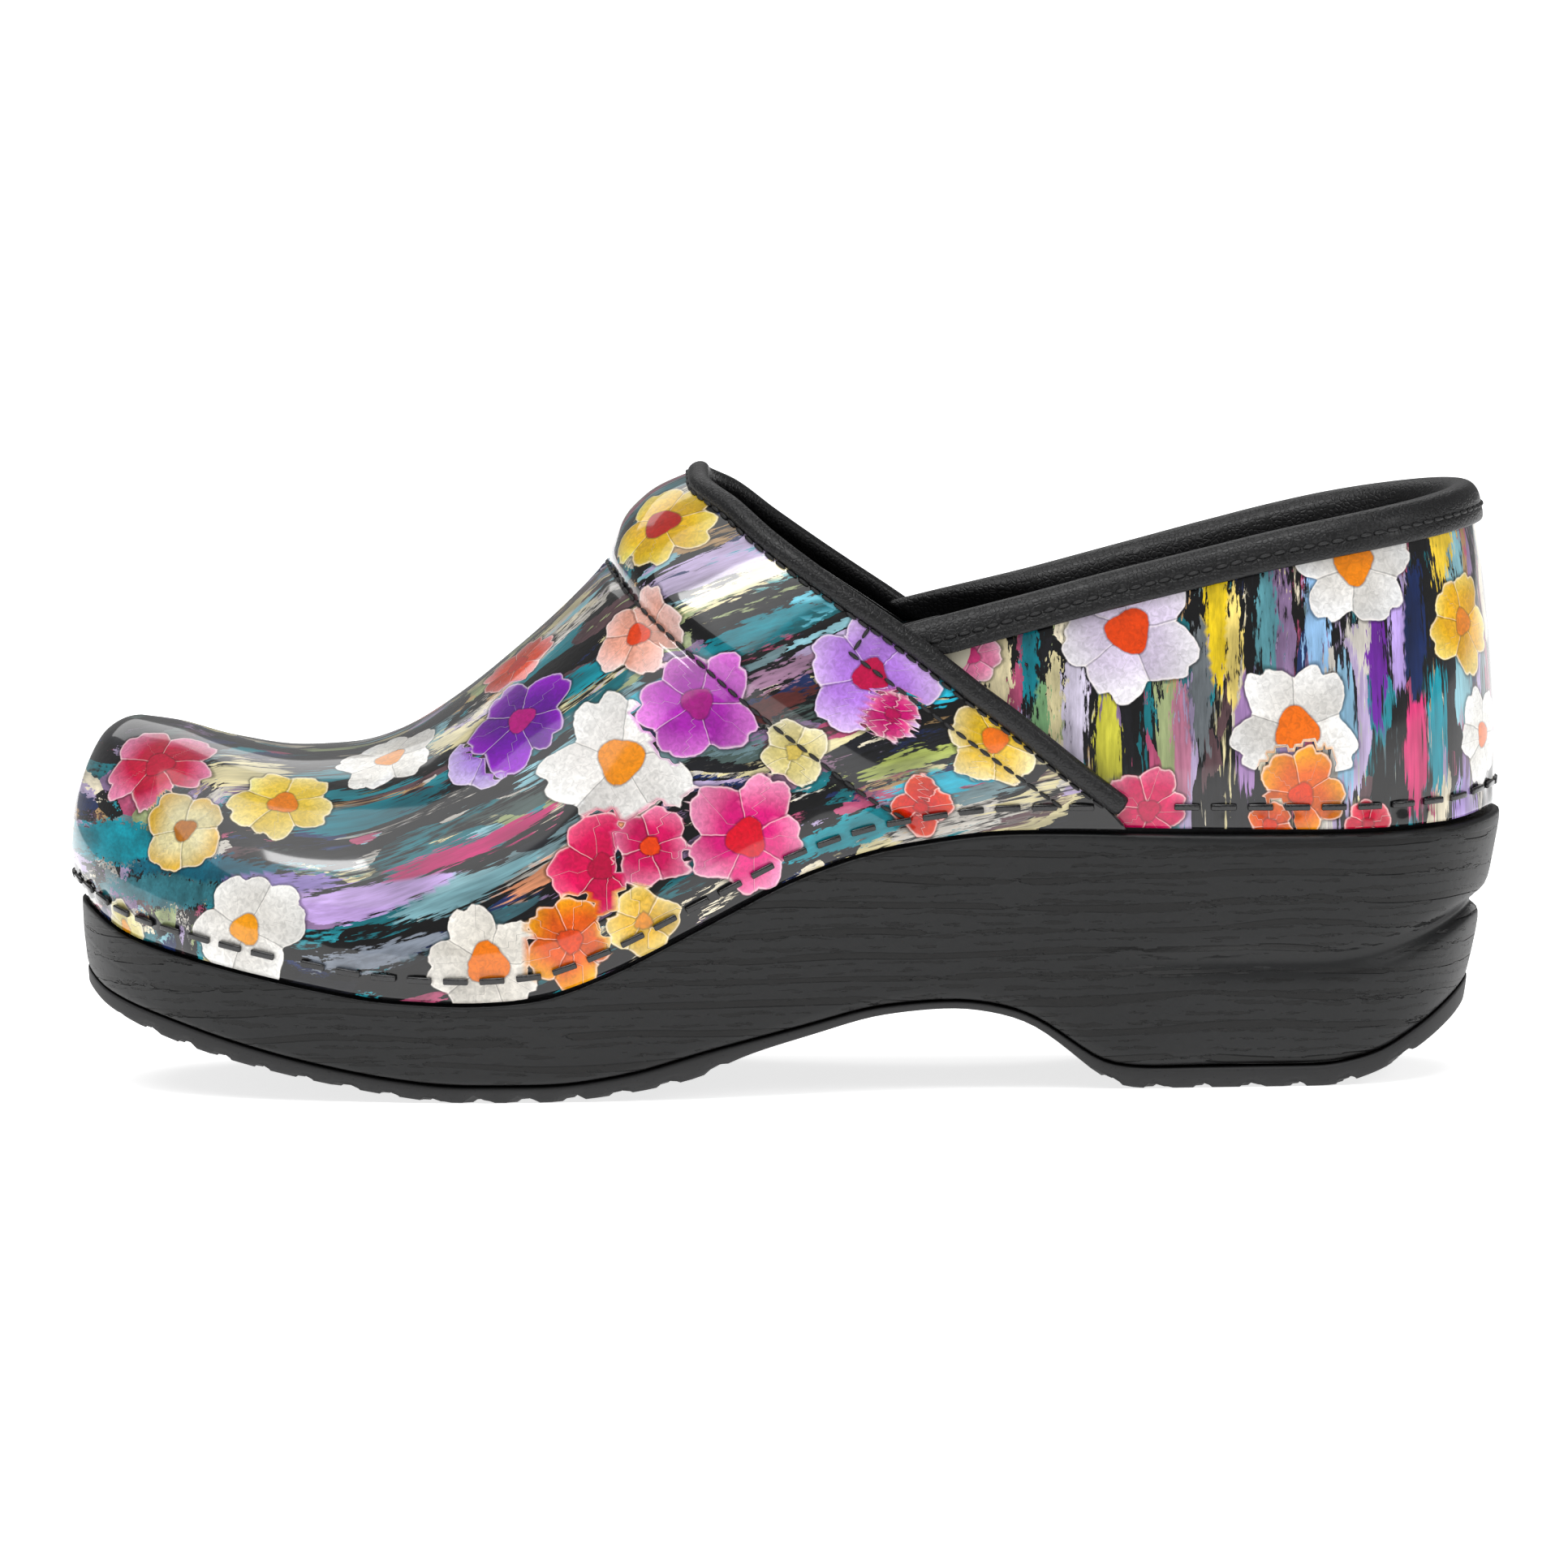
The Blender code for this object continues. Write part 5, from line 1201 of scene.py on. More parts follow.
@dataclass
class Upper:
    """The stapled upper: printed leather, linings and the stiffening between them."""

    finishes: Finishes
    leather: float = 0.0016
    gap: float = 0.0003
    lining: float = 0.0012
    stiffener: float = 0.0012
    quarter_low_z: float = 0.0465
    quarter_high_z: float = 0.0810
    collar_cover: float = 0.0046
    lining_cover: float = 0.0152
    lining_setback: float = 0.0015
    lining_clearance: float = 0.0014
    puff_end_x: float = -0.088
    puff_ease: float = 0.008
    counter_front_x: float = 0.086
    counter_height: float = 0.035
    counter_ease: tuple[float, float, float] = (0.010, 0.008, 0.006)
    groove_depth: float = 0.0007
    groove_reach: float = 0.0013
    groove_pitch: float = 0.0005
    dent_depth: float = 0.0005
    dent_reach: float = 0.0026
    pad_rows: float = 0.5
    pad_columns: tuple[float, float] = (0.30, 0.62)
    pad_gap: float = 0.0005
    pad_fill: float = 0.5
    closing_reach: float = 0.013
    closing_length: float = 0.010

    def __post_init__(self) -> None:
        """Sets up the vamp's grid."""
        self.grid = VampGrid(FORM.vamp_back_x)
        self.margin = Margin()

    def build(self) -> None:
        """Builds every layer of the upper."""
        self.make_vamp()
        self.make_quarter()
        self.make_linings()
        self.make_instep_pad()
        for node in ("toe_puff", "heel_counter"):
            dress_node(node, self.finishes.get("stiffener"))

    def make_vamp(self) -> None:
        """The printed leather over the toe, the instep and both sides."""
        grid = self.grid
        bm = shell(2 * grid.back, grid.rows, grid.locate, lambda p, s: FORM.leather(p, s, 0.0),
                   lambda p, s: FORM.leather(p, s, self.leather))
        close_mesh(bm, CUT_EDGE_CREASE)
        vamp = link_mesh(bm, "vamp_leather", self.finishes.get("printed_leather"), 2)
        groove = [point for point, _, _ in resample(grid.path(grid.seam, 1.0, 60), self.groove_pitch)]
        press(vamp, groove, self.groove_depth, self.groove_reach)
        dents = [point for side in (-1.0, 1.0) for row in ("toe", "vamp")
                 for point, _, _ in self.margin.places(side, row)]
        press(vamp, dents, self.dent_depth, self.dent_reach)
        Print(VAMP_BLOOMS, VAMP_DABS, upright=False, seed=11).lay_on(vamp)
        settle(vamp, "printed_leather", "vamp")

    def make_instep_pad(self) -> None:
        """The soft pad under the leather behind the instep seam."""
        grid = self.grid
        low, columns = self.pad_rows * grid.rows, 8
        first = grid.seam + self.pad_columns[0] * (grid.back - grid.seam)
        last = grid.seam + self.pad_columns[1] * (grid.back - grid.seam)
        half = 14

        def locate(i: int, j: int) -> Spot:
            side = -1.0 if j <= half else 1.0
            row = grid.rows - (grid.rows - low) * abs(j - half) / half
            return grid.spot(first + (last - first) * i / columns, row, side)

        bm = shell(columns, 2 * half, locate, lambda p, s: FORM.leather(p, s, self.leather + self.pad_gap),
                   lambda p, s: FORM.skin(p, s, self.leather - self.closing(p, s)))
        close_mesh(bm)
        pad = link_mesh(bm, "instep_foam_pad", self.finishes.get("foam"), 1)
        settle(pad, "foam", "instep_pad")

    def quarter_locate(self, rows: int, columns: int, shift: float, cover: float) -> Locate:
        """A place finder for a sheet round the heel.

        Args:
            rows: Quads up it.
            columns: Quads round it.
            shift: How far its front edge is set back.
            cover: How far below the collar's top it ends.

        Returns:
            A function that gives (p, s) for a grid point.
        """

        def locate(i: int, j: int) -> Spot:
            half = columns // 2
            side = -1.0 if i <= half else 1.0
            share = (i if i <= half else columns - i) / half
            up = j / rows
            rough_z = self.quarter_low_z + (self.quarter_high_z - self.quarter_low_z) * up
            start = FORM.station_of(FORM.quarter_front_x(rough_z) + shift)
            p = start + (1.0 - start) * share
            foot = FORM.base_point(p, side).z
            top = min(FORM.collar_height(FORM.station_x(p)) - cover, FORM.base_point(p, 0.0).z)
            return p, FORM.share_at(p, side, foot + (top - foot) * up)

        return locate

    def make_quarter(self) -> None:
        """The printed leather round the heel, tucked under the vamp."""
        rows, columns = 16, 96
        depth = FORM.quarter_depth
        bm = shell(columns, rows, self.quarter_locate(rows, columns, 0.0, self.collar_cover),
                   lambda p, s: FORM.skin(p, s, depth), lambda p, s: FORM.skin(p, s, depth + self.leather))
        close_mesh(bm, CUT_EDGE_CREASE)
        quarter = link_mesh(bm, "quarter_leather", self.finishes.get("printed_leather"), 2)
        dents = [point for side in (-1.0, 1.0) for point, _, _ in self.margin.places(side, "heel")]
        press(quarter, dents, self.dent_depth, self.dent_reach)
        Print(QUARTER_BLOOMS, QUARTER_DABS, upright=True, seed=23).lay_on(quarter)
        settle(quarter, "printed_leather", "heel_quarter")

    def closing(self, p: float, s: float) -> float:
        """How far the lining rises to meet the leather along the back of the throat.

        Args:
            p: The station.
            s: The place across the upper.

        Returns:
            The rise, none ahead of the throat.
        """
        point = FORM.base_point(p, s)
        share = ease((point.x - FORM.vamp_back_x(point.z) + self.closing_reach) / self.closing_length)
        return FORM.lift_at(point) * share

    def make_linings(self) -> None:
        """The linings of the vamp and of the quarter."""
        material = self.finishes.get("lining_leather")
        grid = VampGrid(lambda z: min(FORM.vamp_back_x(z), FORM.quarter_front_x(z) - self.lining_clearance),
                        fan=19, seam=26, back=32, rows=14)

        def vamp_depth(p: float, s: float) -> float:
            puff = 1.0 - ease((FORM.base_point(p, s).x - self.puff_end_x) / self.puff_ease)
            return self.leather + self.gap + (self.stiffener + self.gap) * puff - self.closing(p, s)

        bm = shell(2 * grid.back, grid.rows, grid.locate, lambda p, s: FORM.skin(p, s, vamp_depth(p, s)),
                   lambda p, s: FORM.skin(p, s, vamp_depth(p, s) + self.lining))
        close_mesh(bm, CUT_EDGE_CREASE)
        settle(link_mesh(bm, "vamp_lining_leather", material, 1), "lining_leather", "vamp_lining")
        rows, columns = 12, 56

        def quarter_depth(p: float, s: float) -> float:
            point = FORM.base_point(p, s)
            height = point.z - curve_at(FORM.sole_top, point.x)
            reach, length, top = self.counter_ease
            share = ease((point.x - self.counter_front_x + reach) / length)
            share *= 1.0 - ease((height - self.counter_height) / top)
            return FORM.quarter_depth + self.leather + self.gap + (self.stiffener + self.gap) * share

        locate = self.quarter_locate(rows, columns, self.lining_setback, self.lining_cover)
        bm = shell(columns, rows, locate, lambda p, s: FORM.skin(p, s, quarter_depth(p, s)),
                   lambda p, s: FORM.skin(p, s, quarter_depth(p, s) + self.lining))
        close_mesh(bm, CUT_EDGE_CREASE)
        settle(link_mesh(bm, "quarter_lining_leather", material, 1), "lining_leather", "quarter_lining")


@dataclass
class Trim:
    """The black edges of the shoe's opening and all the stitching."""

    finishes: Finishes
    grid: VampGrid
    binding_width: float = 0.0021
    binding_height: float = 0.0017
    binding_depth: float = -0.00015
    binding_foot: float = 0.0014
    binding_steps: int = 150
    crowding: float = 1.35
    band_front_x: float = 0.022
    band_slant: float = 0.0080
    band_clearance: float = 0.0012
    band_end: float = 0.42
    band_taper: float = 0.16
    band_section: tuple[Spot, ...] = (
        (0.0007, -0.0079), (0.0003, -0.0074), (0.0001, -0.0058), (0.0004, -0.0050), (0.0001, -0.0042),
        (0.0002, -0.0024), (0.0012, -0.0006), (0.0036, 0.0), (0.0058, -0.0008), (0.0072, -0.0030),
        (0.0079, -0.0080), (0.0081, -0.0160), (0.0071, -0.0160), (0.0068, -0.0080), (0.0061, -0.0036),
        (0.0050, -0.0020), (0.0036, -0.0012), (0.0020, -0.0016), (0.0015, -0.0026), (0.0013, -0.0050),
        (0.0016, -0.0078))
    foam_section: tuple[Spot, ...] = (
        (0.0039, -0.0130), (0.0039, -0.0042), (0.0023, -0.0040), (0.0025, -0.0028), (0.0036, -0.0018),
        (0.0048, -0.0026), (0.0056, -0.0042), (0.0063, -0.0080), (0.0065, -0.0130))
    foam_clearance: float = 0.0046
    collar_fill: float = 0.8
    seam_clearance: float = 0.0030
    seam_depth: float = 0.0003
    stitch_drop: float = 0.0050
    throat_setback: float = 0.030
    stitch_pitch: float = 0.0027
    stitch_length: float = 0.0026
    stitch_radius: float = 0.00040
    stitch_lift: float = 0.3
    groove_depth: float = 0.0005
    quarter_seam: tuple[Spot, ...] = ((0.0149, 0.0840), (0.0114, 0.0794), (0.0495, 0.0518))

    def build(self) -> None:
        """Builds the binding, the collar and the seams."""
        self.make_binding()
        self.make_collar()
        self.make_seams()

    def throat_path(self) -> list[tuple[Vector, Vector]]:
        """Points and normals along the throat's edge, from its outer foot to its inner foot."""
        points = []
        half = self.binding_steps // 2
        top_x, top_z = FORM.binding_z[0]
        low_z = FORM.binding_z[-1][1] + self.binding_foot
        for k in range(self.binding_steps + 1):
            side = -1.0 if k <= half else 1.0
            share = abs(k - half) / half
            z = top_z + (low_z - top_z) * share ** self.crowding
            p = FORM.station_of(FORM.edge_x(z) if k != half else top_x)
            s = FORM.share_at(p, side, min(z, FORM.base_point(p, 0.0).z)) if k != half else 0.0
            points.append((FORM.leather(p, s, self.binding_depth), FORM.base_normal(p, s)))
        return points

    def make_binding(self) -> None:
        """The rolled edge round the throat, fuller towards the opening."""
        path = self.throat_path()
        section = []
        for k in range(12):
            turn = 2.0 * math.pi * k / 12
            section.append((math.cos(turn), math.sin(turn)))

        def place(i: int, across: float, up: float) -> Vector:
            point, normal = path[i]
            ahead = (path[min(i + 1, len(path) - 1)][0] - path[max(i - 1, 0)][0]).normalized()
            side = ahead.cross(normal).normalized()
            return point + side * across * self.binding_width + normal * up * self.binding_height

        bm = sweep(len(path) - 1, section, place)
        close_mesh(bm)
        binding = link_mesh(bm, "throat_binding_roll", self.finishes.get("black_leather"), 1)
        settle(binding, "black_leather", "throat_binding")

    def collar_place(self, count: int, clearance: float) -> Callable[[int, float, float], Vector]:
        """A place finder on the collar, which starts behind the slanted throat binding.

        Args:
            count: Steps round the collar.
            clearance: How far behind the binding's centre it starts.

        Returns:
            A function that gives the point of a step at a depth and a drop below the collar's top.
        """

        def place(k: int, depth: float, drop: float) -> Vector:
            half = count // 2
            side = -1.0 if k <= half else 1.0
            share = (k if k <= half else count - k) / half
            front = FORM.collar_height(self.band_front_x) + max(drop, -self.band_slant)
            start = FORM.station_of(FORM.edge_x(front) + clearance)
            p = start + (1.0 - start) * share
            full = self.band_end + (1.0 - self.band_end) * ease(share / self.band_taper)
            return FORM.skin(p, FORM.share_at(p, side, FORM.collar_height(FORM.station_x(p)) + drop), depth * full)

        return place

    def make_collar(self) -> None:
        """The padded band folded over the top of the quarter, and the foam inside it."""
        count = 120
        bm = sweep(count, self.band_section, self.collar_place(count, self.band_clearance))
        close_mesh(bm)
        band = link_mesh(bm, "collar_band_fold", self.finishes.get("black_leather"), 2)
        settle(band, "black_leather", "collar_band")
        bm = sweep(count, self.foam_section, self.collar_place(count, self.foam_clearance))
        close_mesh(bm)
        foam = link_mesh(bm, "collar_foam_strip", self.finishes.get("foam"), 1)
        settle(foam, "foam", "collar_foam")

    def add_stitches(self, name: str, path: Sequence[tuple[Vector, Vector]], *nodes: str) -> None:
        """A row of single stitches, half sunk in the leather.

        Args:
            name: The piece's name.
            path: The seam's points and normals.
            *nodes: The CAD nodes that it stands for.
        """
        bm = bmesh.new()
        for point, ahead, normal in resample(path, self.stitch_pitch):
            side = ahead.cross(normal).normalized()
            turn = Matrix((ahead, side, ahead.cross(side))).transposed().to_4x4()
            size = Matrix.Diagonal((self.stitch_length / 2.0, self.stitch_radius, self.stitch_radius, 1.0))
            bmesh.ops.create_uvsphere(bm, u_segments=8, v_segments=5, radius=1.0,
                                      matrix=Matrix.Translation(point + normal * self.stitch_radius * self.stitch_lift)
                                      @ turn @ size)
        bmesh.ops.recalc_face_normals(bm, faces=bm.faces[:])
        settle(link_mesh(bm, name, self.finishes.get("thread")), "thread", *nodes)

    def make_seams(self) -> None:
        """Every seam: instep, throat, quarter and collar."""
        grid = self.grid
        self.add_stitches("instep_seam", self.sunk(grid.path(grid.seam, 1.2, 90)), "vamp_stitch")
        setback = grid.back - (grid.back - grid.seam) * self.throat_setback
        self.add_stitches("throat_seam", grid.path(setback, 1.0, 110), "binding_stitch")
        for word, side in (("left", -1.0), ("right", 1.0)):
            start, corner, foot = (Vector(place) for place in self.quarter_seam)
            route = [start.lerp(corner, k / 4) for k in range(4)]
            route += [corner.lerp(foot, k / 24) for k in range(25)]
            path = []
            for x, z in route:
                p = FORM.station_of(x)
                s = FORM.share_at(p, side, z)
                path.append((FORM.leather(p, s, 0.0), FORM.base_normal(p, s)))
            self.add_stitches(f"quarter_seam_{word}", path, f"quarter_stitch_{word}")
        count = 160
        place = self.collar_place(count, self.seam_clearance)
        path = []
        for k in range(count + 1):
            point = place(k, self.seam_depth, -self.stitch_drop)
            path.append((point, (point - place(k, self.seam_depth + MM, -self.stitch_drop)).normalized()))
        self.add_stitches("collar_seam", path, "collar_stitch")

    def sunk(self, path: Sequence[tuple[Vector, Vector]]) -> list[tuple[Vector, Vector]]:
        """A path let down into its groove."""
        return [(point - normal * self.groove_depth, normal) for point, normal in path]


@dataclass
class Staples:
    """Black staples through the upper's margin, each a flat bar with rounded edges."""

    finishes: Finishes
    margin: Margin
    length: float = 0.0046
    width: float = 0.0012
    height: float = 0.0006 * 1.4
    rounding: float = 0.22

    def build(self) -> None:
        """Builds the six rows."""
        for word, side in (("left", -1.0), ("right", 1.0)):
            for row in ("toe", "vamp", "heel"):
                self.make_row(f"staples_{row}_{word}", side, row)

    def make_row(self, node: str, side: float, row: str) -> None:
        """One row of staples.

        Args:
            node: The CAD node that it stands for.
            side: -1 for the outer side, 1 for the inner.
            row: Which row of the margin.
        """
        bm = bmesh.new()
        for point, ahead, normal in self.margin.places(side, row):
            across = ahead.cross(normal).normalized()
            turn = Matrix((ahead, across, normal)).transposed().to_4x4()
            size = Matrix.Diagonal((self.length, self.width, self.height, 1.0))
            made = bmesh.ops.create_cube(bm, size=1.0, matrix=Matrix.Translation(point) @ turn @ size)
            edges = list({edge for vert in made["verts"] for edge in vert.link_edges})
            bmesh.ops.bevel(bm, geom=edges, offset=self.width * self.rounding, affect="EDGES", segments=2,
                            profile=0.5, material=-1)
        bmesh.ops.recalc_face_normals(bm, faces=bm.faces[:])
        settle(link_mesh(bm, f"{node}_bars", self.finishes.get("lacquered_steel")), "lacquered_steel", node)


@dataclass
class Sole:
    """The rocker block, its tread, and the frame and bed inside the shoe."""

    finishes: Finishes
    gap: float = 0.0003
    ledge: float = 0.0059
    recess: float = 0.0060
    wall_top_inset: float = 0.0006
    wall_lean: float = 0.0010
    steps: int = 90
    wall: tuple[tuple[float, float, float, float], ...] = (
        (0.0, 0.0008, 0.0008, 0.0008), (0.015, 0.0002, 0.0001, 0.0003), (0.05, 0.0, 0.0, 0.0),
        (0.30, 0.0006, 0.0001, 0.0016), (0.44, 0.0009, 0.0002, 0.0024), (0.49, 0.0011, 0.0002, 0.0036),
        (0.52, 0.0016, 0.0002, 0.0054), (0.55, 0.0020, 0.0003, 0.0061), (0.58, 0.0018, 0.0003, 0.0057),
        (0.61, 0.0012, 0.0003, 0.0044), (0.66, 0.0011, 0.0004, 0.0042), (0.80, 0.0015, 0.0006, 0.0050),
        (0.96, 0.0021, 0.0008, 0.0062), (1.0, 0.0026, 0.0013, 0.0067))
    groove_front: float = 0.056
    groove_ease: float = 0.030
    groove_share: float = 0.545
    groove_half: float = 0.060
    tread_insets: tuple[Spot, ...] = ((0.0022, 0.0064), (0.0026, 0.0072))
    lug_depth: float = 0.0013
    lug_pitch: float = 0.0085
    lug_zones: tuple[Spot, Spot] = ((-0.066, 0.052), (0.092, 0.034))
    lug_fade: float = 0.004
    bed_inset: float = 0.0092
    sock_height: float = 0.0049
    sock_thickness: float = 0.0015
    arch_x: float = 0.020
    arch_length: float = 0.032
    arch_width: float = 0.030
    arch_rise: float = 0.0050
    cup_front_x: float = 0.050
    cup_ease: float = 0.040
    cup_centre_x: float = 0.092
    cup_radius: float = 0.010
    cup_width: float = 0.020
    cup_rise: float = 0.0018

    def build(self) -> None:
        """Builds the sole's pieces."""
        self.make_block()
        self.make_tread()
        self.make_sock()
        dress_node("inner_frame", self.finishes.get("frame_plastic"))
        dress_node("footbed", self.finishes.get("footbed_foam"))

    def loft(self, rings: Sequence[Ring], caps: int = 24) -> bmesh.types.BMesh:
        """A solid through closed rings of the sole's plan.

        Args:
            rings: Each gives a point for a station and a side.
            caps: Quads across each end cap.

        Returns:
            The mesh.
        """
        bm = bmesh.new()
        count = 2 * self.steps

        def ring_point(ring: Ring, k: int) -> Vector:
            side = -1.0 if k % count <= self.steps else 1.0
            step = k % count if side < 0.0 else count - k % count
            return Vector(ring(step / self.steps, side))

        add_sheet(bm, count, len(rings) - 1, lambda i, j: ring_point(rings[j], i))
        for ring in (rings[0], rings[-1]):
            add_sheet(bm, self.steps, caps, lambda i, j, ring=ring: ring_point(ring, i).lerp(
                ring_point(ring, count - i), j / caps))
        return bm

    def wall_ring(self, share: float, side_in: float, toe_in: float, heel_in: float) -> Ring:
        """A ring of the block's wall.

        Args:
            share: How far down it lies, from the top edge (0) to the tread (1).
            side_in: How far the heel's sides draw in there.
            toe_in: How far the toe draws in.
            heel_in: How far the heel's back draws in.

        Returns:
            A function that gives a point for a station and a side.
        """
        flat = self.wall_top_inset + self.wall_lean * share

        def ring(p: float, side: float) -> tuple[float, float, float]:
            x = FORM.station_x(p, toe_in, heel_in)
            fade = ease((x - self.groove_front) / self.groove_ease)
            inset = (flat + (side_in - flat) * fade, toe_in, heel_in)
            px, py = FORM.plan_point(p, side, inset)
            top = curve_at(FORM.sole_top, px)
            low = curve_at(FORM.tread_top, px) + self.gap
            return px, py, top + (low - top) * share

        return ring

    def inner_ring(self, inset: float, drop: float) -> Ring:
        """A ring of the ledge or the recess in the block's top."""

        def ring(p: float, side: float) -> tuple[float, float, float]:
            x, y = FORM.plan_point(p, side, (inset, inset, inset))
            return x, y, curve_at(FORM.sole_top, x) + drop

        return ring

    def make_block(self) -> None:
        """The moulded block, with the smooth groove round its heel."""
        rings = [self.wall_ring(*row) for row in reversed(self.wall)]
        rings += [self.inner_ring(self.ledge, 0.0), self.inner_ring(self.ledge, -self.recess)]
        bm = self.loft(rings)
        close_mesh(bm)
        block = link_mesh(bm, "sole_block_moulding", self.finishes.get("moulded_sole"), 1)
        co, _ = vertex_arrays(block.data)
        tops = np.array([curve_at(FORM.sole_top, x) for x in co[:, 0]])
        lows = np.array([curve_at(FORM.tread_top, x) for x in co[:, 0]])
        share = (tops - co[:, 2]) / np.maximum(tops - lows, 0.001)
        band = np.clip(1.0 - np.abs(share - self.groove_share) / self.groove_half, 0.0, 1.0)
        front = np.clip((co[:, 0] - self.groove_front) / self.groove_ease, 0.0, 1.0)
        plain = block.data.attributes.new("plain", "FLOAT", "POINT")
        plain.data.foreach_set("value", np.clip(band * front * 2.0, 0.0, 1.0).astype(np.float32))
        settle(block, "moulded_sole", "sole_block")

    def make_tread(self) -> None:
        """The rubber tread, with grooves across the forefoot and the heel."""
        (top_in, top_heel), (low_in, low_heel) = self.tread_insets

        def edge(inset: float, heel: float, height: Curve, lift: float) -> Ring:
            def ring(p: float, side: float) -> tuple[float, float, float]:
                x, y = FORM.plan_point(p, side, (inset, inset * 0.4, heel))
                return x, y, curve_at(height, x) + lift

            return ring

        rings = [edge(low_in, low_heel, FORM.tread_bottom, 0.0),
                 edge(low_in - 0.0001, low_heel - 0.0002, FORM.tread_bottom, 0.0005),
                 edge(top_in, top_heel, FORM.tread_top, -0.0003),
                 edge(top_in + 0.0003, top_heel + 0.0003, FORM.tread_top, 0.0)]
        bm = self.loft(rings, 30)
        close_mesh(bm)
        tread = link_mesh(bm, "outsole_tread", self.finishes.get("tread_rubber"), 1)
        co, normals = vertex_arrays(tread.data)
        wave = np.sin(2.0 * math.pi * (co[:, 0] + 0.35 * np.abs(co[:, 1])) / self.lug_pitch)
        cut = np.clip((wave - 0.35) / 0.45, 0.0, 1.0)
        zone = np.zeros(len(co))
        for middle_x, half_length in self.lug_zones:
            reach = (np.abs(co[:, 0] - middle_x) - half_length) / self.lug_fade
            zone = np.maximum(zone, np.clip(1.0 - reach, 0.0, 1.0))
        below = normals[:, 2] < -0.2
        co[:, 2] += self.lug_depth * cut * zone * below
        tread.data.vertices.foreach_set("co", co.astype(np.float32).ravel())
        tread.data.update()
        settle(tread, "tread_rubber", "outsole")

    def make_sock(self) -> None:
        """The leather covering of the contoured bed."""
        low, thick = self.sock_height, self.sock_thickness
        steps, across_steps = 60, 18
        bm = bmesh.new()

        def point(i: int, j: int, height: float) -> Vector:
            x, y = FORM.plan_point(i / steps, 2.0 * j / across_steps - 1.0, (self.bed_inset,) * 3)
            arch = math.exp(-((x - self.arch_x) / self.arch_length) ** 2) * ease(y / self.arch_width)
            arch *= self.arch_rise
            round_heel = (math.hypot(x - self.cup_centre_x, y) - self.cup_radius) / self.cup_width
            cup = ease((x - self.cup_front_x) / self.cup_ease) * ease(round_heel) * self.cup_rise
            return Vector((x, y, curve_at(FORM.sole_top, x) + height + arch + cup))

        add_sheet(bm, steps, across_steps, lambda i, j: point(i, j, low + thick))
        add_sheet(bm, steps, across_steps, lambda i, j: point(i, j, low))
        for j in (0, across_steps):
            add_sheet(bm, steps, 1, lambda i, k, j=j: point(i, j, low + thick * k))
        close_mesh(bm, CUT_EDGE_CREASE)
        sock = link_mesh(bm, "sock_liner_leather", self.finishes.get("sock_leather"), 1)
        settle(sock, "sock_leather", "sock_liner")


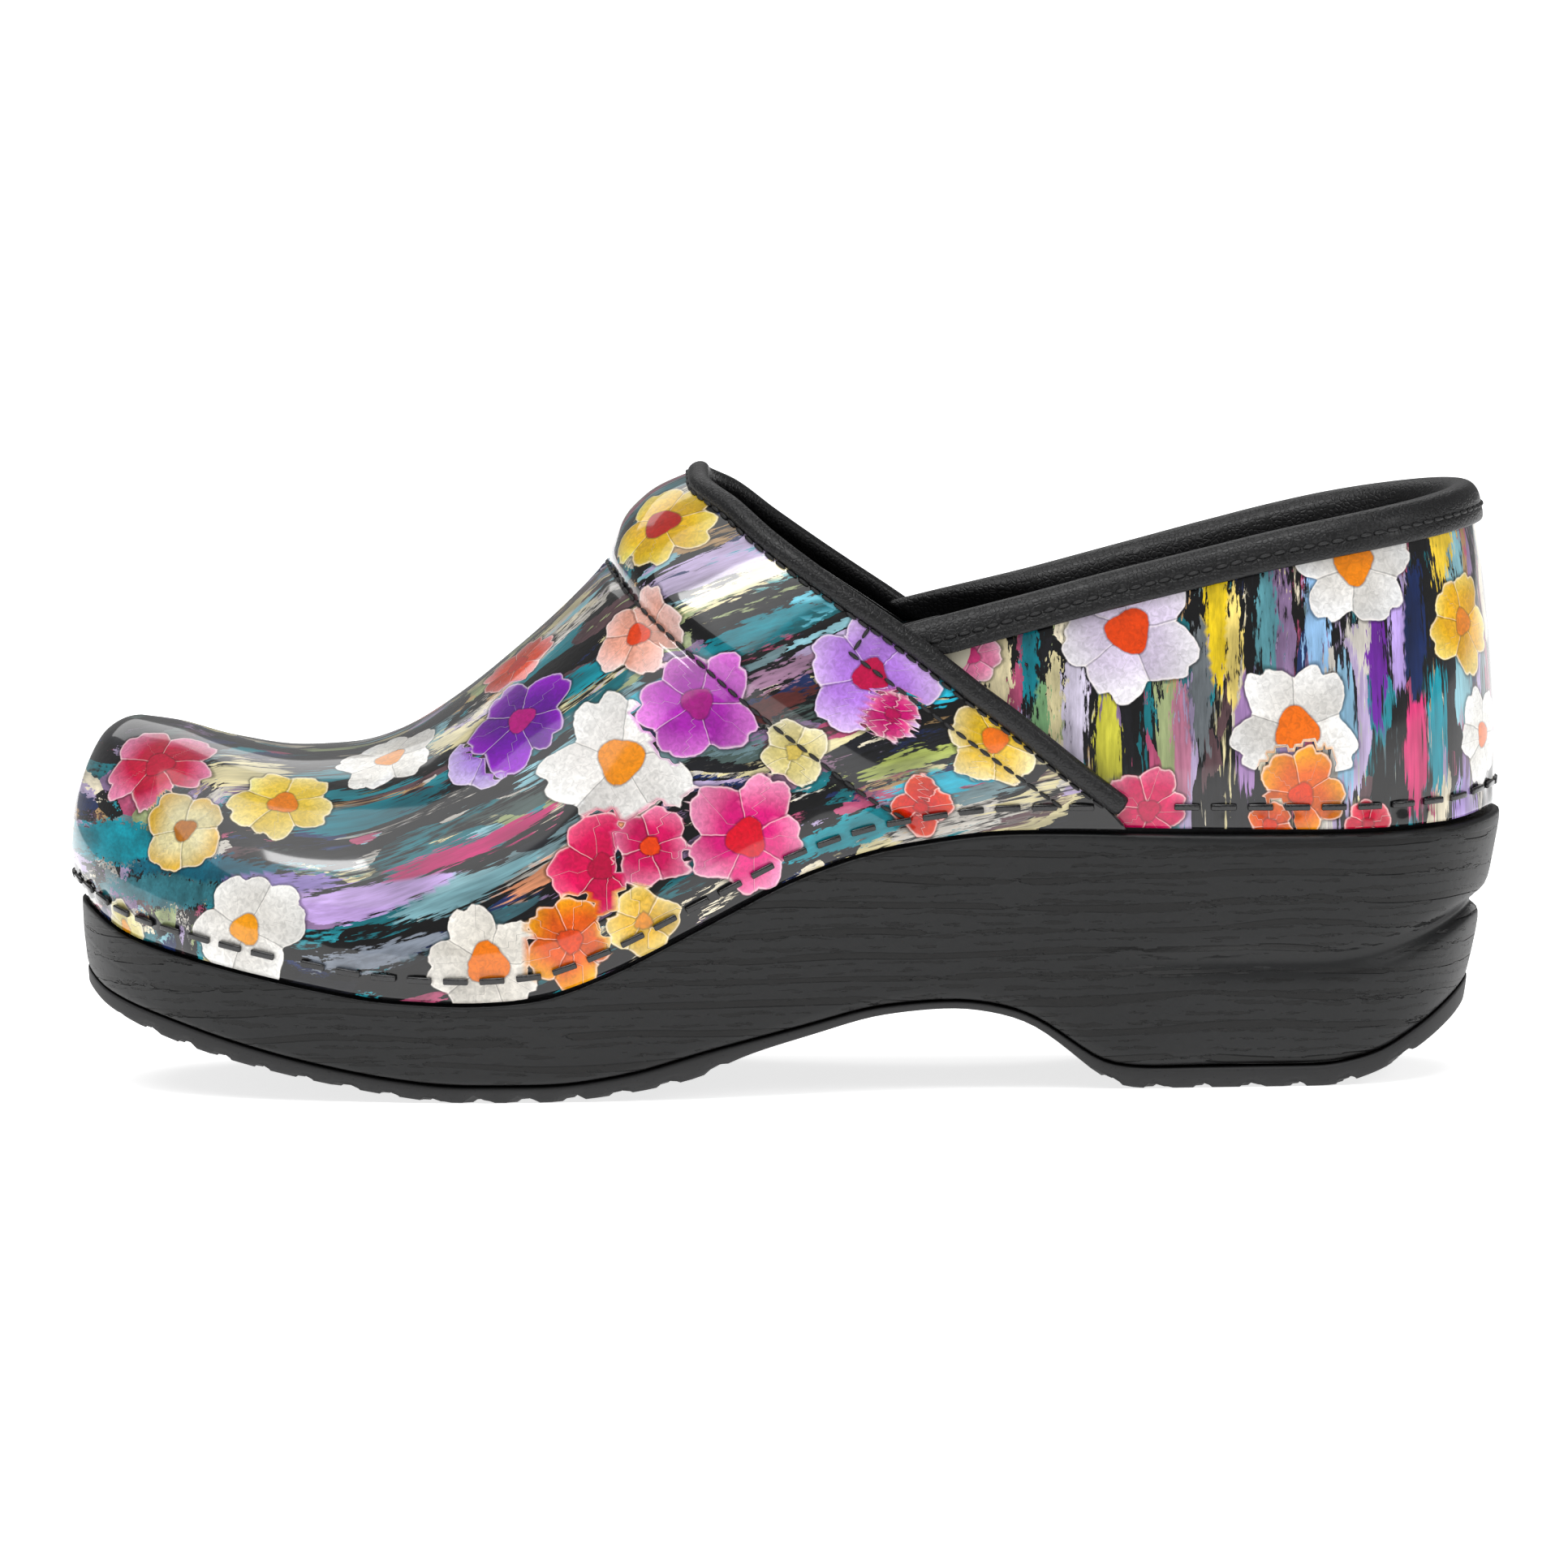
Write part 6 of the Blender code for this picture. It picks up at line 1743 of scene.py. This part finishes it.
@dataclass
class Studio:
    """A white floor, soft light and the camera."""

    distance: float = 5.0
    framing: float = 0.28679
    elevation: float = math.radians(5.0)
    roll: float = math.radians(0.716)
    target: tuple[float, float, float] = (0.0, 0.0, 0.0535)
    floor_size: float = 40.0
    glow: float = 0.74
    sky: float = 0.24
    sun_energy: float = 1.30
    sun_angle: float = math.radians(60.0)

    def build(self) -> None:
        """Sets the scene round the shoe."""
        self.make_floor()
        self.make_lights()
        self.make_camera()

    def make_floor(self) -> None:
        """A plain pale floor."""
        bm = bmesh.new()
        bmesh.ops.create_grid(bm, x_segments=8, y_segments=8, size=self.floor_size / 2.0)
        mesh = bpy.data.meshes.new("floor")
        bm.to_mesh(mesh)
        bm.free()
        floor = bpy.data.objects.new("floor", mesh)
        bpy.context.scene.collection.objects.link(floor)
        material, tree, shader, coordinates = start_material("matt_white_floor")
        shader.inputs["Roughness"].default_value = 0.9
        shader.inputs["Specular IOR Level"].default_value = 0.1
        cloud = add_node(tree, "ShaderNodeTexNoise", {"Vector": coordinates, "Scale": 2.0})
        tone = add_node(tree, "ShaderNodeMix", {0: cloud.outputs["Fac"], 6: colour("#F9F9F9"),
                                                7: colour("#FDFDFD")}, data_type="RGBA")
        tree.links.new(tone.outputs[2], shader.inputs["Base Color"])
        shader.inputs["Emission Color"].default_value = colour("#FFFFFF")
        shader.inputs["Emission Strength"].default_value = self.glow
        mesh.materials.append(material)

    def make_lights(self) -> None:
        """Soft light from above, and three soft boxes for the gloss."""
        world = bpy.data.worlds.new("studio")
        bpy.context.scene.world = world
        world.use_nodes = True
        background = world.node_tree.nodes["Background"]
        background.inputs["Color"].default_value = colour("#FFFFFF")
        background.inputs["Strength"].default_value = self.sky
        sun = bpy.data.lights.new("overhead", "SUN")
        sun.energy = self.sun_energy
        sun.angle = self.sun_angle
        self.add_lamp(sun, (-0.6, -0.9, 3.0), (0.0, 0.0, 0.05))
        for name, place, aim, size, energy in (
                ("front_box", (-0.35, -0.95, 2.1), (0.0, 0.0, 0.06), (0.9, 0.25), 9.0),
                ("side_box", (1.3, -0.8, 0.9), (0.05, 0.0, 0.06), (0.25, 0.60), 4.0),
                ("rear_box", (-0.2, 1.3, 1.2), (0.0, 0.0, 0.08), (1.6, 0.6), 4.5)):
            lamp = bpy.data.lights.new(name, "AREA")
            lamp.shape = "RECTANGLE"
            lamp.size, lamp.size_y = size
            lamp.energy = energy
            self.add_lamp(lamp, place, aim)

    def add_lamp(self, lamp: bpy.types.Light, place: Sequence[float], aim: Sequence[float]) -> None:
        """Puts a lamp in the scene.

        Args:
            lamp: The lamp.
            place: Where it hangs.
            aim: The point it faces.
        """
        holder = bpy.data.objects.new(lamp.name, lamp)
        holder.location = place
        holder.rotation_euler = (Vector(aim) - Vector(place)).to_track_quat("-Z", "Y").to_euler()
        bpy.context.scene.collection.objects.link(holder)

    def make_camera(self) -> None:
        """A long lens on the outer side, a little above the shoe and tilted slightly."""
        lens = bpy.data.cameras.new("camera")
        lens.sensor_width = 36.0
        lens.lens = lens.sensor_width * self.distance / self.framing
        lens.clip_end = 60.0
        target = Vector(self.target)
        back = Vector((0.0, -math.cos(self.elevation), math.sin(self.elevation)))
        up = Vector((0.0, math.sin(self.elevation), math.cos(self.elevation)))
        right = Vector((1.0, 0.0, 0.0))
        turned_right = right * math.cos(self.roll) - up * math.sin(self.roll)
        turned_up = up * math.cos(self.roll) + right * math.sin(self.roll)
        holder = bpy.data.objects.new("camera", lens)
        place = Matrix((turned_right, turned_up, back)).transposed().to_4x4()
        place.translation = target + back * self.distance
        holder.matrix_world = place
        bpy.context.scene.collection.objects.link(holder)
        bpy.context.scene.camera = holder
        bpy.context.scene.view_settings.view_transform = "Standard"


def main() -> None:
    """Builds the shoe piece by piece, then its studio."""
    logging.basicConfig(level=logging.INFO, format="%(name)s: %(message)s")
    finishes = Finishes()
    Sole(finishes).build()
    upper = Upper(finishes)
    upper.build()
    Trim(finishes, upper.grid).build()
    Staples(finishes, upper.margin).build()
    Studio().build()


if __name__ == "__main__":
    main()
